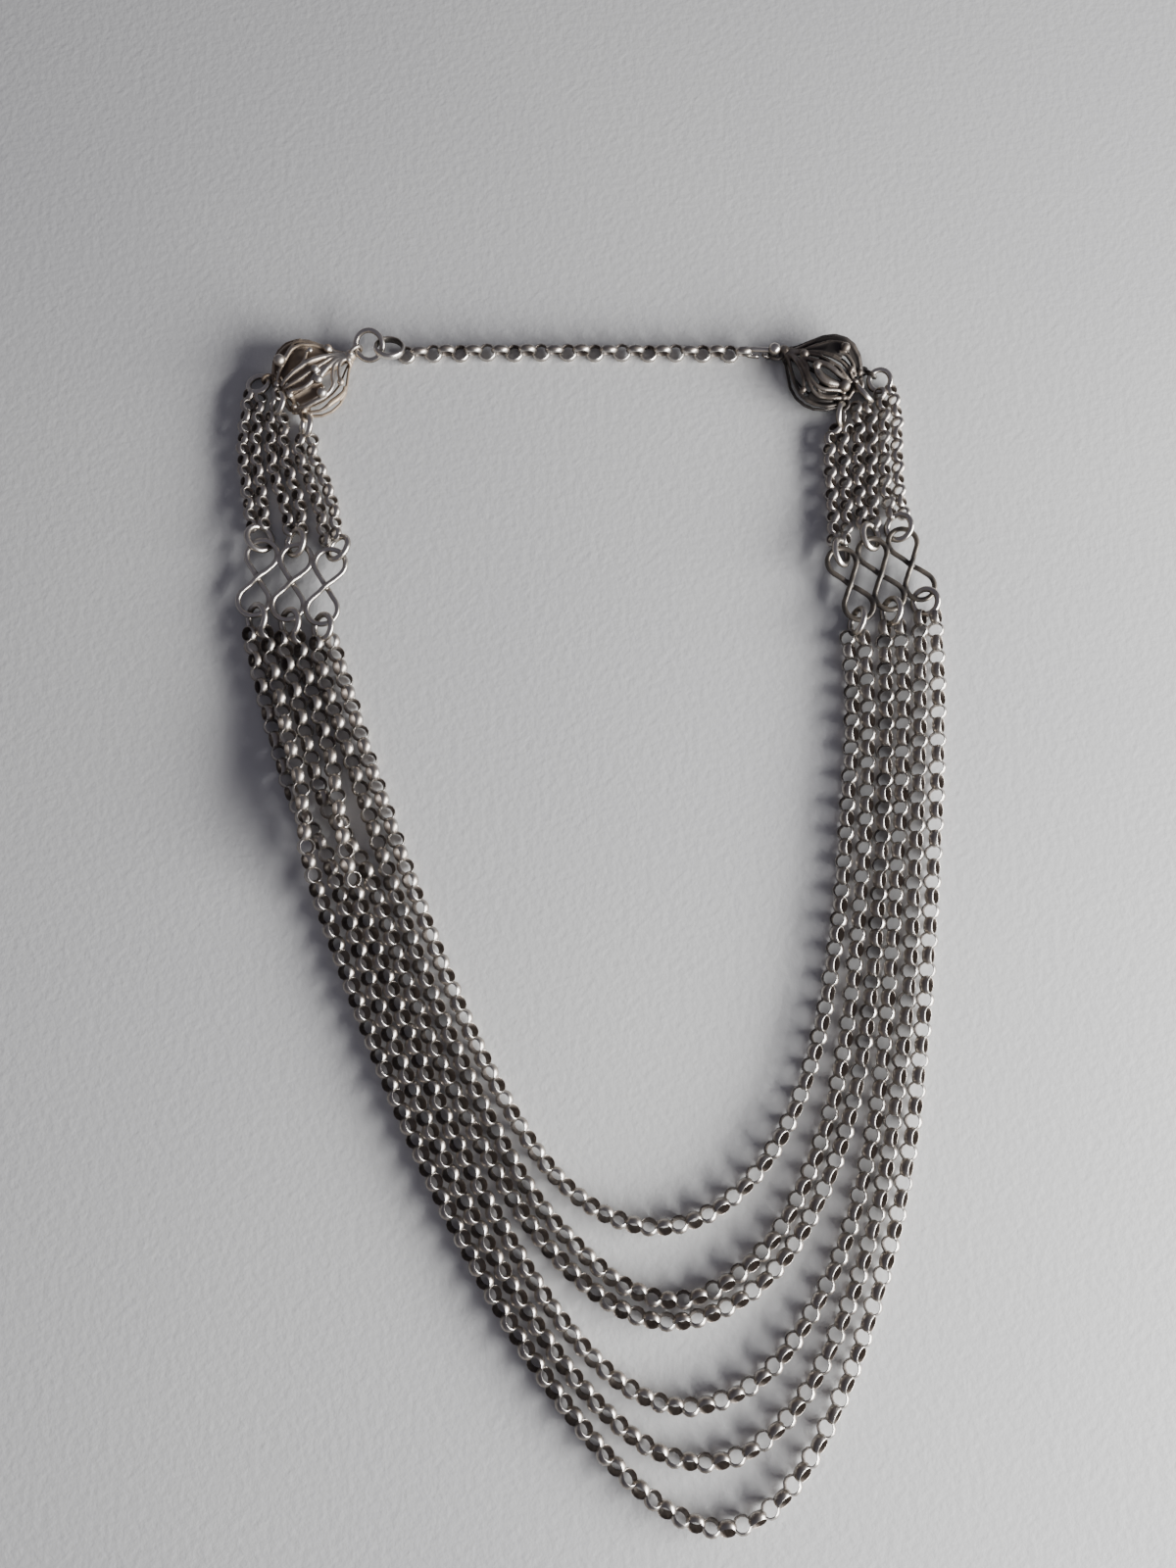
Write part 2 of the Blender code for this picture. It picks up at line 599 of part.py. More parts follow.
def fastening(material, dark):
    """The clasp ring, catch ring, back chain and hook between the two tips."""
    clasp = bud_frame("left") @ tip_place("left")
    clasp += heading(CLASP_HEADING) * ((CLASP_RING - CLASP_RING_WIRE) / 2 + CLASP_SLACK)
    clasp.z += CLASP_RISE
    add_object("clasp_ring", ring_mesh("clasp_ring", CLASP_RING, CLASP_RING_WIRE, 18), material,
               ring_frame(clasp, *CLASP_TILT))
    apart = (CLASP_RING - CLASP_RING_WIRE) / 2 + (CATCH_RING - CATCH_WALL) / 2 - CATCH_REACH
    catch = clasp + heading(CATCH_HEADING) * apart + Vector((0, 0, CATCH_RISE))
    add_object("catch_ring", band_ring_mesh("catch_ring", CATCH_RING, CATCH_WALL, CATCH_BAND), material,
               ring_frame(catch, *CATCH_TILT))
    bend = HOOK_BEND
    top = [Vector((-HOOK_LENGTH / 2, 0, bend)), Vector((0, 0, bend)), Vector((HOOK_LENGTH / 2, 0, bend))]
    left_bend = [Vector((-HOOK_LENGTH / 2 + bend * math.cos(a), 0, bend * math.sin(a)))
                 for a in [math.radians(d) for d in (270, 240, 210, 180, 150, 120)]]
    right_bend = [Vector((HOOK_LENGTH / 2 + bend * math.cos(a), 0, bend * math.sin(a)))
                  for a in [math.radians(d) for d in (60, 30, 0, -30, -60, -90, -120, -150)]]
    tail = [Vector((-HOOK_LENGTH / 2 + 1.6 * mm, 0, -bend * 1.05))]
    eye = bud_frame("right") @ tip_place("right")
    eye -= heading(HOOK_TURN) * (HOOK_LENGTH / 2 + bend + HOOK_SLACK)
    place = ring_frame((eye.x, eye.y, bend + HOOK_WIRE / 2 + 0.1 * mm), HOOK_TURN, 0)
    hook = wire_curve("hook", [(tail + left_bend + top + right_bend, False)], HOOK_WIRE, 2)
    add_object("hook", hook, material, place)
    start = catch + Vector((CATCH_RING / 2 + CLEARANCE + 0.1 * mm, -0.5 * mm, 0))
    start.z = BACK_TUBE / 2 + 0.1 * mm
    end = place @ Vector((-HOOK_LENGTH / 2 - bend - HOOK_WIRE / 2 - CLEARANCE - 0.1 * mm, 0, 0))
    end.z = start.z
    chain_tube("back_chain", start, BACK_CHAIN, end, BACK_TUBE, dark)


def build():
    """Make every piece."""
    clear_scene()
    bright = silver("silver", SILVER, 0.28)
    dark = silver("oxidised_silver", DARK_SILVER, 0.42)
    rings = {}
    for side in ("left", "right"):
        loops, radius = eight_row(side, bright)
        rings["upper", side] = row_rings(side, "upper", loops["upper"], radius, bright)
        rings["lower", side] = row_rings(side, "lower", loops["lower"], radius, bright)
        rings["bud", side] = bud(side, bright)
        for number, (top, top_side, foot, foot_side, points) in enumerate(SHORT_CHAINS[side]):
            start = ring_exit(rings["bud", side][top], BUD_EXITS[side][top], top_side, SHORT_TUBE,
                              SHORT_PAIR_PITCH)
            end = ring_exit(rings["upper", side][foot], UPPER_EXITS[side][foot], foot_side, SHORT_TUBE,
                            SHORT_PAIR_PITCH)
            chain_tube("short_chain_%s_%d" % (side, number + 1), start, points, end, SHORT_TUBE, dark)
    for number, strand in enumerate(STRANDS):
        ends = []
        for side in ("left", "right"):
            ring, lean = strand[side]
            ends.append(ring_exit(rings["lower", side][ring], LOWER_EXITS[side][ring], lean, STRAND_TUBE,
                                  STRAND_PAIR_PITCH))
        chain_tube("strand_%d" % (number + 1), ends[0], strand["points"], ends[1], STRAND_TUBE, dark)
    fastening(bright, dark)
    for thing in bpy.data.objects:
        thing.matrix_world = Matrix.Translation(TO_MIDDLE) @ thing.matrix_world


build()
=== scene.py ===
"""Looks of a multi-strand silver chain necklace, laid out as a Blender add-on."""
import math

import bmesh
import bpy
from bpy.props import FloatProperty, FloatVectorProperty, IntProperty, PointerProperty
from mathutils import Matrix, Vector


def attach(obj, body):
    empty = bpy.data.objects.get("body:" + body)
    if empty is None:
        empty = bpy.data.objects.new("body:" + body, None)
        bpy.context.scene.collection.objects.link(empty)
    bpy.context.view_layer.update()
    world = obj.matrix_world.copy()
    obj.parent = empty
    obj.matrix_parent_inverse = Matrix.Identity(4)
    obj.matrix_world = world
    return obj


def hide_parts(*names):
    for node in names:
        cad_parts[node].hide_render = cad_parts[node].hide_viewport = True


bl_info = {
    "name": "Multi-strand Chain Necklace",
    "version": (1, 0, 0),
    "blender": (4, 5, 0),
    "location": "View3D > Sidebar > Necklace",
    "description": "Links, rings, figure-eights and bud ornaments of a silver necklace",
    "category": "Add Mesh",
}

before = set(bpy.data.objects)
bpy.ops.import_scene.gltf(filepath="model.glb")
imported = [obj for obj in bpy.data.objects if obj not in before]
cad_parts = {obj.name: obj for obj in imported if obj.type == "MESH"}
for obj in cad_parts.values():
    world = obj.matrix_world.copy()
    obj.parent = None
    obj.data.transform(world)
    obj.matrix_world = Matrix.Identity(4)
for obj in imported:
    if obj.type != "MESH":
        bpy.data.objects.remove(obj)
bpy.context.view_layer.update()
mm = 0.001

# The part's own sizes, which the looks follow, and the shift of its middle to the origin
TO_MIDDLE = Vector((0.22 * mm, 0.47 * mm, 0.0))
CLEARANCE = 0.3 * mm
STRAND_PAIR_PITCH = 3.3 * mm
SHORT_PAIR_PITCH = 2.65 * mm
RING_WIRE = 1.05 * mm
UPPER_RING = 6.45 * mm
LOWER_RING = 6.35 * mm
BUD_RING = 5.5 * mm
BUD_RING_WIRE = 0.95 * mm
EIGHT_WIRE = 1.05 * mm
EIGHT_LEVEL = 2.1 * mm
EIGHT_JOIN = 0.27 * mm
BUD_LENGTH = 18.0 * mm
BUD_HALF_WIDTH = 9.0 * mm
BUD_RISE = 4.6 * mm
BUD_RIB = 0.95 * mm
EYELET = 3.0 * mm
TIP_EYE = 3.6 * mm
TIP_EYE_LEVEL = TIP_EYE / 2 + 0.15 * mm
CLASP_RING = 7.1 * mm
CLASP_RING_WIRE = 0.95 * mm
CATCH_RING = 6.9 * mm
CATCH_WALL = 0.75 * mm
CATCH_BAND = 1.5 * mm
HOOK_WIRE = 1.1 * mm
HOOK_BEND = 1.3 * mm
HOOK_LENGTH = 3.8 * mm

# Sizes that only the looks have
CHAIN_START = 0.15 * mm
CHAIN_REACH = 0.4 * mm
BACK_CHAIN_START = 0.1 * mm
ROUTE_STEP = 0.8 * mm
EIGHT_SWELL = 0.1 * mm
EIGHT_JOINT = 0.55 * mm
EIGHT_JOINT_SHAPE = (0.9, 1.9, 1.05, 1)
EIGHT_CELL = 0.15 * mm
BUD_TIP_BEAD = 1.3 * mm
TIP_EYE_WIRE = 0.85 * mm
EYELET_WIRE = 0.8 * mm
EYELET_ROOT = 1.05 * mm
EYELET_ROOT_BACK = 1.85 * mm
LEAF_WALL = 0.42 * mm
HOOK_BEAD = 1.3 * mm

# Links of the finer chains, as shares of a long strand's link
SHORT_WALL_SHARE = 1.55
SHORT_BAND_SHARE = 0.88
BACK_OUTER_SHARE = 1.10
BACK_WALL_SHARE = 1.30
BACK_BAND_SHARE = 0.85
BACK_LEAN = math.radians(34)

# Plain wire is worn and painted light where its face turns up, and painted shade at its sides and
# below: from this share on, over this span, to this polish
WEAR_SHADE_FROM = 0.12
WEAR_SHADE_SPAN = 0.60
WEAR_SHADE_MOST = 0.74

# Round the joints of the figure-eights the polish falls off, within this reach, by this per mm
JOINT_SHADE = 1.5 * mm
JOINT_SHADE_SLOPE = 0.25

# The left strands lie slack between two heights, left of a line, and twist further there
SLACK_LEFT_OF = -30.0 * mm
SLACK_FROM = -6.0 * mm
SLACK_RISE = 14.0 * mm
SLACK_TO = 52.0 * mm
SLACK_FALL = 10.0 * mm
SLACK_TWIST = math.radians(30)

# Window light, room light, table and camera
WINDOW_SIZE = (0.74, 0.22)
WINDOW_ENERGY = 18.7
WINDOW_PLACE = (0.58, -0.21, 0.167)
ROOM_COLOUR = (0.82, 0.79, 0.96, 1)
ROOM_STRENGTH = 0.140
TABLE_SIZE = 1.6
CAMERA_SENSOR = 36.0
CAMERA_LENS = 27.2
CAMERA_PLACE = (0.3 * mm, -22.4 * mm, 240.2 * mm)
CAMERA_TILT = math.radians(10.0)

# Outline of a bud: share of the length, share of the half width, share of the rise
BUD_SECTIONS = [
    # along, half width, rise
    (0.00, 0.34, 0.42),
    (0.08, 0.60, 0.62),
    (0.17, 0.82, 0.80),
    (0.30, 0.97, 0.95),
    (0.42, 1.00, 1.00),
    (0.55, 0.94, 0.94),
    (0.67, 0.78, 0.78),
    (0.78, 0.51, 0.57),
    (0.87, 0.28, 0.38),
    (0.94, 0.16, 0.27),
    (1.00, 0.11, 0.22),
]

# Each bud: the middle of its base in mm, the turn of its tip from +X, its side away from the
# strands, the polish in its hollows, how far its widest line stands out in mm, its finish,
# the eye at its tip as mm sunk in the tip, mm across and roll, and the rings in its eyelets:
# each eyelet's place as shares of the length and half width, the mm that the ring hangs
# above lying, its heading and its roll
BUDS = {
    "left": {
        "base": (-66.4, 104.8), "turn": 34.0, "far": 1, "wear": 0.06, "swell": 0.6,
        "cast": "cast_worn", "tip": (0.5, 0.0, 90.0),
        "rings": [
            # along, across, lift, heading, roll
            (-0.006, 0.567, 0.57, -150.0, 18.0),
            (0.0, 0.033, 0.69, -92.0, 46.0),
            (0.122, -0.8, 0.06, -86.0, 55.0),
        ],
    },
    "right": {
        "base": (58.2, 106.4), "turn": 148.0, "far": -1, "wear": -0.24, "swell": 0.3,
        "cast": "cast", "tip": (0.9, 1.7, 8.0),
        "rings": [
            # along, across, lift, heading, roll
            (-0.067, -0.567, 0.57, -37.0, 18.0),
            (0.0, -0.067, 0.42, -52.0, -62.0),
            (0.017, 0.533, 0.05, -102.0, -66.0),
        ],
    },
}

# Ribs of each bud from the tip to the base: share of the length, degrees over the dome
# from its ridge with the bud's own left side counted up, and thickness in mm
LEFT_RIBS = [
    [(0.97, 12, 0.9), (0.88, 22, 0.95), (0.81, 22, 1.0), (0.69, 15, 1.1), (0.54, 13, 1.15), (0.42, 12, 1.1),
     (0.30, 12, 1.0), (0.20, 12, 0.95), (0.08, 12, 0.9)],
    [(0.97, 2, 0.8), (0.79, 10, 0.8), (0.66, 2, 0.8), (0.49, -2, 0.8), (0.35, -3, 0.8), (0.23, -2, 0.8),
     (0.08, 2, 0.8)],
    [(0.66, -5, 0.7), (0.56, -8, 0.8), (0.46, -12, 0.85), (0.39, -17, 0.85), (0.29, -18, 0.8),
     (0.20, -15, 0.8), (0.08, -8, 0.8)],
    [(0.97, 8, 0.9), (0.85, 4, 0.95), (0.76, -3, 1.0), (0.67, -9, 1.1), (0.56, -15, 1.2), (0.49, -19, 1.2)],
    [(0.97, -2, 0.9), (0.85, -6, 0.85), (0.74, -14, 0.8), (0.69, -21, 0.8), (0.64, -32, 0.8),
     (0.61, -42, 0.8), (0.52, -48, 0.85), (0.42, -50, 0.9), (0.29, -49, 0.9), (0.19, -54, 0.9),
     (0.08, -58, 0.9)],
    [(0.97, -8, 0.9), (0.86, -12, 0.8), (0.78, -26, 0.75), (0.73, -40, 0.75), (0.70, -52, 0.8)],
    [(0.72, -84, 0.7), (0.66, -82, 0.9), (0.58, -75, 1.2), (0.50, -71, 1.3), (0.42, -71, 1.0),
     (0.35, -74, 0.8), (0.24, -74, 0.7), (0.08, -72, 0.7)],
    [(0.51, 84, 0.7), (0.45, 60, 0.8), (0.39, 52, 0.85), (0.32, 45, 0.9), (0.25, 42, 0.9)],
    [(0.97, 18, 0.8), (0.84, 46, 0.8), (0.76, 58, 0.75), (0.68, 58, 0.75), (0.58, 57, 0.8), (0.48, 55, 0.8),
     (0.37, 47, 0.8), (0.28, 40, 0.8), (0.08, 34, 0.8)],
    [(0.97, 24, 0.9), (0.84, 68, 0.9), (0.74, 74, 0.9), (0.60, 76, 0.9), (0.45, 74, 0.9), (0.29, 70, 0.9),
     (0.08, 66, 0.9)],
    [(0.62, 40, 0.6), (0.56, 33, 0.7), (0.50, 22, 0.7), (0.42, 14, 0.7)],
]
RIGHT_RIBS = [
    [(0.97, 18, 0.9), (0.91, 34, 0.9), (0.81, 52, 0.85), (0.70, 58, 0.85), (0.59, 65, 0.9), (0.47, 70, 0.9),
     (0.33, 72, 0.9), (0.18, 71, 0.9), (0.08, 70, 0.9)],
    [(0.97, 10, 0.9), (0.85, 16, 0.85), (0.77, 22, 0.8), (0.65, 31, 0.8), (0.57, 42, 0.8), (0.52, 54, 0.8)],
    [(0.97, 6, 0.9), (0.77, 12, 0.85), (0.62, 24, 0.8), (0.53, 35, 0.8), (0.44, 44, 0.8), (0.34, 50, 0.85),
     (0.25, 50, 0.9), (0.14, 46, 0.9), (0.08, 44, 0.9)],
    [(0.75, 6, 0.9), (0.63, 15, 0.85), (0.57, 26, 0.8), (0.48, 33, 0.85), (0.38, 36, 0.9), (0.28, 34, 0.9),
     (0.17, 27, 0.9), (0.08, 26, 0.9)],
    [(0.54, 9, 1.3), (0.45, 18, 1.6), (0.36, 21, 1.7), (0.27, 20, 1.5), (0.18, 16, 1.2), (0.08, 16, 0.9)],
    [(0.75, 2, 0.9), (0.59, 2, 1.1), (0.48, 0, 1.2), (0.37, 0, 1.3), (0.25, 2, 1.2), (0.08, 5, 0.9)],
    [(0.97, -4, 0.9), (0.70, -8, 0.75), (0.57, -9, 0.7), (0.42, -8, 0.7), (0.29, -8, 0.75), (0.18, -4, 0.8),
     (0.08, -2, 0.8)],
    [(0.97, -9, 0.9), (0.68, -14, 0.75), (0.57, -15, 0.7), (0.43, -16, 0.7), (0.29, -18, 0.75),
     (0.18, -17, 0.8), (0.08, -12, 0.8)],
    [(0.97, -14, 0.9), (0.80, -20, 0.8), (0.73, -27, 0.8), (0.67, -32, 0.8), (0.58, -42, 0.85),
     (0.49, -48, 0.85), (0.40, -52, 0.9), (0.34, -44, 0.9)],
    [(0.40, -30, 0.8), (0.31, -34, 0.85), (0.21, -34, 0.9), (0.14, -29, 0.9), (0.08, -22, 0.9)],
    [(0.97, -22, 0.9), (0.82, -42, 0.9), (0.72, -66, 0.85), (0.62, -76, 0.9), (0.50, -78, 0.9),
     (0.32, -72, 0.9), (0.08, -74, 0.9)],
    [(0.90, -30, 0.8), (0.76, -48, 0.7), (0.66, -62, 0.7), (0.55, -68, 0.75), (0.40, -66, 0.75),
     (0.20, -62, 0.8), (0.08, -60, 0.8)],
]

# Cast leaves between two ribs: the two edges, as share of the length and degrees, and how
# far the middle is hollowed in mm
LEFT_LEAVES = [
    ([(0.78, 21), (0.69, 15), (0.54, 13), (0.42, 12), (0.30, 12), (0.16, 12)],
     [(0.78, 10), (0.66, 2), (0.49, -2), (0.35, -3), (0.23, -2), (0.16, 0)], 0.18),
    ([(0.62, 1), (0.52, -1), (0.42, -2), (0.30, -2), (0.16, 0)],
     [(0.62, -7), (0.52, -11), (0.42, -16), (0.30, -18), (0.16, -13)], 0.22),
]
RIGHT_LEAVES = [
    ([(0.72, -14), (0.63, -16), (0.53, -16), (0.42, -18), (0.33, -20)],
     [(0.72, -28), (0.63, -37), (0.53, -46), (0.42, -50), (0.33, -42)], 0.55),
    ([(0.50, 10), (0.42, 12), (0.30, 12), (0.18, 10)],
     [(0.50, 20), (0.42, 27), (0.30, 28), (0.18, 24)], 0.9),
    ([(0.44, 46), (0.34, 51), (0.24, 51), (0.14, 48)],
     [(0.44, 68), (0.34, 72), (0.24, 72), (0.14, 70)], 0.55),
]

# Sheets sunk behind the openwork where only shade shows through, dark as painted shade: their two edges in
# the same way
LEFT_SHADE_SHEETS = [
    ([(0.74, 76), (0.60, 74), (0.45, 72), (0.30, 68), (0.14, 62)],
     [(0.76, 24), (0.60, 20), (0.45, 17), (0.30, 15), (0.14, 14)], 1.0),
    ([(0.50, -20), (0.40, -20), (0.30, -20), (0.14, -20)],
     [(0.50, -36), (0.40, -44), (0.30, -46), (0.14, -50)], 1.3),
]
RIGHT_SHADE_SHEETS = [
    ([(0.74, -30), (0.60, -42), (0.48, -48), (0.34, -44), (0.22, -34), (0.10, -24)],
     [(0.74, -58), (0.60, -72), (0.48, -74), (0.34, -70), (0.22, -68), (0.10, -66)], 1.2),
    ([(0.56, 4), (0.44, 0), (0.32, 0), (0.18, 2)],
     [(0.56, -8), (0.44, -8), (0.32, -8), (0.18, -4)], 1.2),
    ([(0.40, 22), (0.32, 24), (0.24, 24), (0.14, 20)],
     [(0.40, 40), (0.32, 48), (0.24, 48), (0.14, 42)], 1.4),
]

# Granules: share of the length, degrees over the dome, radius and rise in mm
LEFT_GRANULES = [
    # along, angle, radius, rise
    (0.23, 43, 1.30, 0.9),
    (0.80, 54, 1.00, 0.35),
    (0.60, 31, 0.60, 0.5),
    (0.52, -4, 0.90, 0.4),
    (0.48, -20, 1.00, 0.5),
    (0.43, -40, 1.10, 0.5),
    (0.70, -53, 0.80, 0.3),
    (0.57, 86, 0.50, 0.4),
    (0.52, 84, 0.35, 0.4),
    (0.10, -18, 0.75, 0.3),
    (0.07, -52, 0.70, 0.3),
    (0.05, -78, 0.75, 0.3),
    (0.05, 30, 0.70, 0.2),
]
RIGHT_GRANULES = [
    # along, angle, radius, rise
    (0.74, -3, 1.00, 0.5),
    (0.53, 9, 0.90, 0.5),
    (0.52, 55, 0.70, 0.3),
    (0.36, -41, 1.10, 0.5),
    (0.12, 14, 1.30, 0.5),
    (0.16, -20, 0.70, 0.3),
    (0.06, 44, 0.70, 0.3),
    (0.05, -12, 0.70, 0.2),
    (0.06, -46, 0.75, 0.3),
]

# Rows of three figure-eight links: middle of the row, its turn, how much of its worn polish with
# its painted top light shows, length and width of one link, and the jump rings above and below the row as
# (degrees round the end loop, mm of reach past the loop, mm of lift above lying, roll)
EIGHT_ROWS = {
    "left": {
        "middle": (-62.0, 62.7), "turn": -7.5, "rubbed": 1.0, "length": 17.65, "width": 7.55,
        "upper": [(101, 0.6, 0.03, 36), (93, 0.45, 0.05, -40), (66, 0.6, 0.03, -36)],
        "lower": [(-77, 0.65, 0.05, 38), (-80, 0.65, 0.05, 38), (-85, 0.65, 0.05, 38)],
    },
    "right": {
        "middle": (62.0, 64.5), "turn": 18.5, "rubbed": 0.2, "length": 17.25, "width": 7.15,
        "upper": [(94, -1.05, 0.03, 50), (94, 0.45, 0.03, 41), (101, 0.45, 0.03, -38)],
        "lower": [(-101, 0.7, 0.05, 72), (-89, 0.6, 0.05, 62), (-75, 0.6, 0.05, 38)],
    },
}

# Long strands, innermost first: number of the ring and side of it at each end, which way
# the first link leans, and the points that the chain lies through, in mm as x, y and any lift
STRANDS = [
    {
        "left": (2, 1), "right": (0, -1), "first": 1,
        "points": [
            (-49.8, 40.0), (-44.8, 25.0), (-39.3, 10.0), (-33.6, -5.0), (-27.4, -20.0), (-20.4, -35.0),
            (-11.6, -50.0), (-4.0, -59.0), (4.0, -64.4), (12.5, -66.6), (21.0, -65.2), (29.0, -60.4),
            (36.0, -52.5), (42.0, -41.5), (46.5, -28.0), (49.8, -12.0), (51.8, 2.0), (53.2, 16.0),
            (54.4, 28.0), (55.0, 40.0),
        ],
    },
    {
        "left": (2, -1), "right": (0, 1), "first": 1,
        "points": [
            (-53.9, 40.0), (-48.8, 26.0), (-43.1, 10.0), (-37.6, -5.0), (-31.8, -20.0), (-24.9, -35.0),
            (-17.0, -50.0), (-8.2, -63.5), (3.0, -74.4), (10.0, -78.4), (17.0, -79.8), (24.0, -78.0),
            (31.0, -73.4), (37.2, -66.8), (43.0, -56.5), (47.9, -44.0), (51.2, -30.0), (53.6, -15.0),
            (55.4, 0.0), (56.9, 14.0), (57.8, 28.0), (58.3, 40.0),
        ],
    },
    {
        "left": (1, -1), "right": (1, -1), "first": 1,
        "points": [
            (-60.6, 40.0), (-56.8, 26.0), (-53.4, 16.0), (-49.6, 10.0), (-44.9, 3.0), (-41.4, -5.0),
            (-35.7, -20.0), (-29.0, -35.0), (-21.2, -50.0), (-12.0, -64.5), (-2.5, -75.0), (7.0, -81.6),
            (16.0, -83.7), (25.0, -81.7), (33.0, -77.0), (40.2, -69.0), (46.5, -58.0), (51.5, -45.0),
            (55.0, -30.0), (57.3, -15.0), (59.0, 0.0), (60.4, 14.0), (61.5, 28.0), (62.0, 40.0),
        ],
    },
    {
        "left": (1, 1), "right": (1, 1), "first": -1,
        "points": [
            (-57.2, 40.0), (-52.7, 26.0, 0.2), (-50.3, 16.0, 1.8), (-48.9, 10.0, 3.2), (-47.9, 4.0, 3.0),
            (-46.4, -1.5, 1.0), (-45.0, -6.0), (-39.4, -20.0), (-32.9, -35.0), (-25.6, -50.0), (-17.2, -65.0),
            (-7.4, -80.0), (1.8, -90.6), (10.0, -96.4), (18.0, -98.6), (26.0, -97.2), (34.0, -92.6),
            (41.5, -83.8), (48.5, -71.5), (53.6, -57.0), (57.0, -42.0), (59.2, -27.0), (61.1, -12.0),
            (62.55, 2.0), (63.95, 15.0), (64.9, 28.0), (65.7, 40.0),
        ],
    },
    {
        "left": (0, -1), "right": (2, -1), "first": 1,
        "points": [
            (-67.3, 40.0), (-64.0, 29.0), (-60.6, 19.0), (-57.4, 12.5), (-53.0, 6.0), (-48.7, -5.0),
            (-43.0, -20.0), (-36.8, -35.0), (-29.7, -50.0), (-21.7, -65.0), (-12.4, -80.0), (-3.6, -92.0),
            (4.5, -100.4), (12.5, -106.0), (21.0, -108.2), (29.5, -106.6), (37.5, -100.6), (44.5, -91.0),
            (51.2, -77.0), (56.6, -61.0), (60.2, -44.0), (62.8, -29.0), (64.7, -14.0), (66.0, 1.0),
            (67.3, 14.0), (68.4, 28.0), (69.1, 40.0),
        ],
    },
    {
        "left": (0, 1), "right": (2, 1), "first": -1,
        "points": [
            (-64.0, 40.0, 0.4), (-60.9, 29.0, 1.6), (-57.8, 19.0, 2.6), (-56.6, 12.0, 3.2), (-56.0, 6.0, 2.6),
            (-54.6, 0.0, 0.8), (-52.8, -5.5), (-47.0, -20.0), (-40.6, -35.0), (-33.6, -50.0), (-25.8, -65.0),
            (-17.0, -80.0), (-8.8, -92.0), (0.5, -103.6), (9.0, -112.0), (17.5, -117.6), (26.0, -119.4),
            (34.0, -116.2), (41.0, -108.4), (47.4, -97.4), (53.6, -83.0), (59.0, -67.0), (63.2, -49.0),
            (66.2, -30.0), (68.3, -13.0), (69.9, 2.0), (71.2, 15.0), (72.2, 28.0), (72.9, 40.0),
        ],
    },
]

# Short chains from the rings on a bud down to the rings above the figure-eights, from left
# to right: ring and side at the top, ring and side at the bottom, and points in mm
SHORT_CHAINS = {
    "left": [
        (0, -1, 0, -1, [(-73.8, 98.5), (-73.9, 92.0), (-73.0, 86.0), (-72.1, 80.5)]),
        (0, 1, 0, 1, [(-71.1, 98.5), (-71.2, 92.0), (-70.0, 86.0), (-69.2, 80.5)]),
        (1, -1, 1, -1, [(-68.0, 97.0), (-67.8, 92.0), (-66.6, 86.0), (-64.5, 80.5)]),
        (1, 1, 1, 1, [(-65.4, 97.0), (-65.0, 92.0), (-63.2, 86.0), (-61.2, 80.5)]),
        (2, -1, 2, -1, [(-61.9, 91.5), (-59.9, 87.0), (-58.0, 82.0), (-56.6, 78.0)]),
        (2, 1, 2, 1, [(-58.9, 91.5), (-56.6, 87.0), (-54.8, 82.0), (-53.6, 78.0)]),
    ],
    "right": [
        (2, -1, 0, -1, [(52.3, 94.5), (52.2, 88.0), (52.3, 82.0), (52.5, 77.0)]),
        (2, 1, 0, 1, [(55.2, 95.5), (55.3, 88.0), (55.3, 82.0), (55.4, 77.0)]),
        (1, -1, 1, -1, [(58.8, 98.0), (58.3, 92.0), (58.2, 86.0), (58.3, 81.0)]),
        (1, 1, 1, 1, [(61.6, 98.0), (61.1, 92.0), (61.0, 86.0), (61.0, 81.0)]),
        (0, -1, 2, -1, [(64.3, 100.5), (64.0, 94.5), (63.9, 88.0), (63.9, 83.5)]),
        (0, 1, 2, 1, [(67.1, 100.5), (66.8, 94.5), (66.8, 88.0), (66.8, 83.5)]),
    ],
}

# Heading of each ring's loaded side, where its chains leave it
LOWER_EXITS = {"left": (-84, -88, -82), "right": (-92, -86, -84)}
UPPER_EXITS = {"left": (100, 96, 122), "right": (92, 94, 92)}
BUD_EXITS = {"left": (-104, -96, -90), "right": (-68, -95, -92)}

# Fastening. The clasp ring hangs from the left tip eye: its heading from there, how far
# its wire passes beyond the eye's middle, its rise above the eye, its turn and roll.
# The catch ring does the same from the clasp ring, with how far the two rings reach into
# each other. The hook goes from the right tip eye.
CLASP_HEADING = 15.9
CLASP_SLACK = 0.1 * mm
CLASP_RISE = 0.85 * mm
CLASP_TILT = (-25.0, 28.0)
CATCH_HEADING = -10.0
CATCH_REACH = 1.6 * mm
CATCH_RISE = 0.25 * mm
CATCH_TILT = (-14.0, -25.0)
HOOK_SLACK = 0.07 * mm
HOOK_TURN = -3.0

# Points that the back chain passes, in mm
BACK_CHAIN = [(-30.0, 115.6), (-15.0, 115.7), (0.0, 115.7), (15.0, 115.6), (28.0, 115.5)]

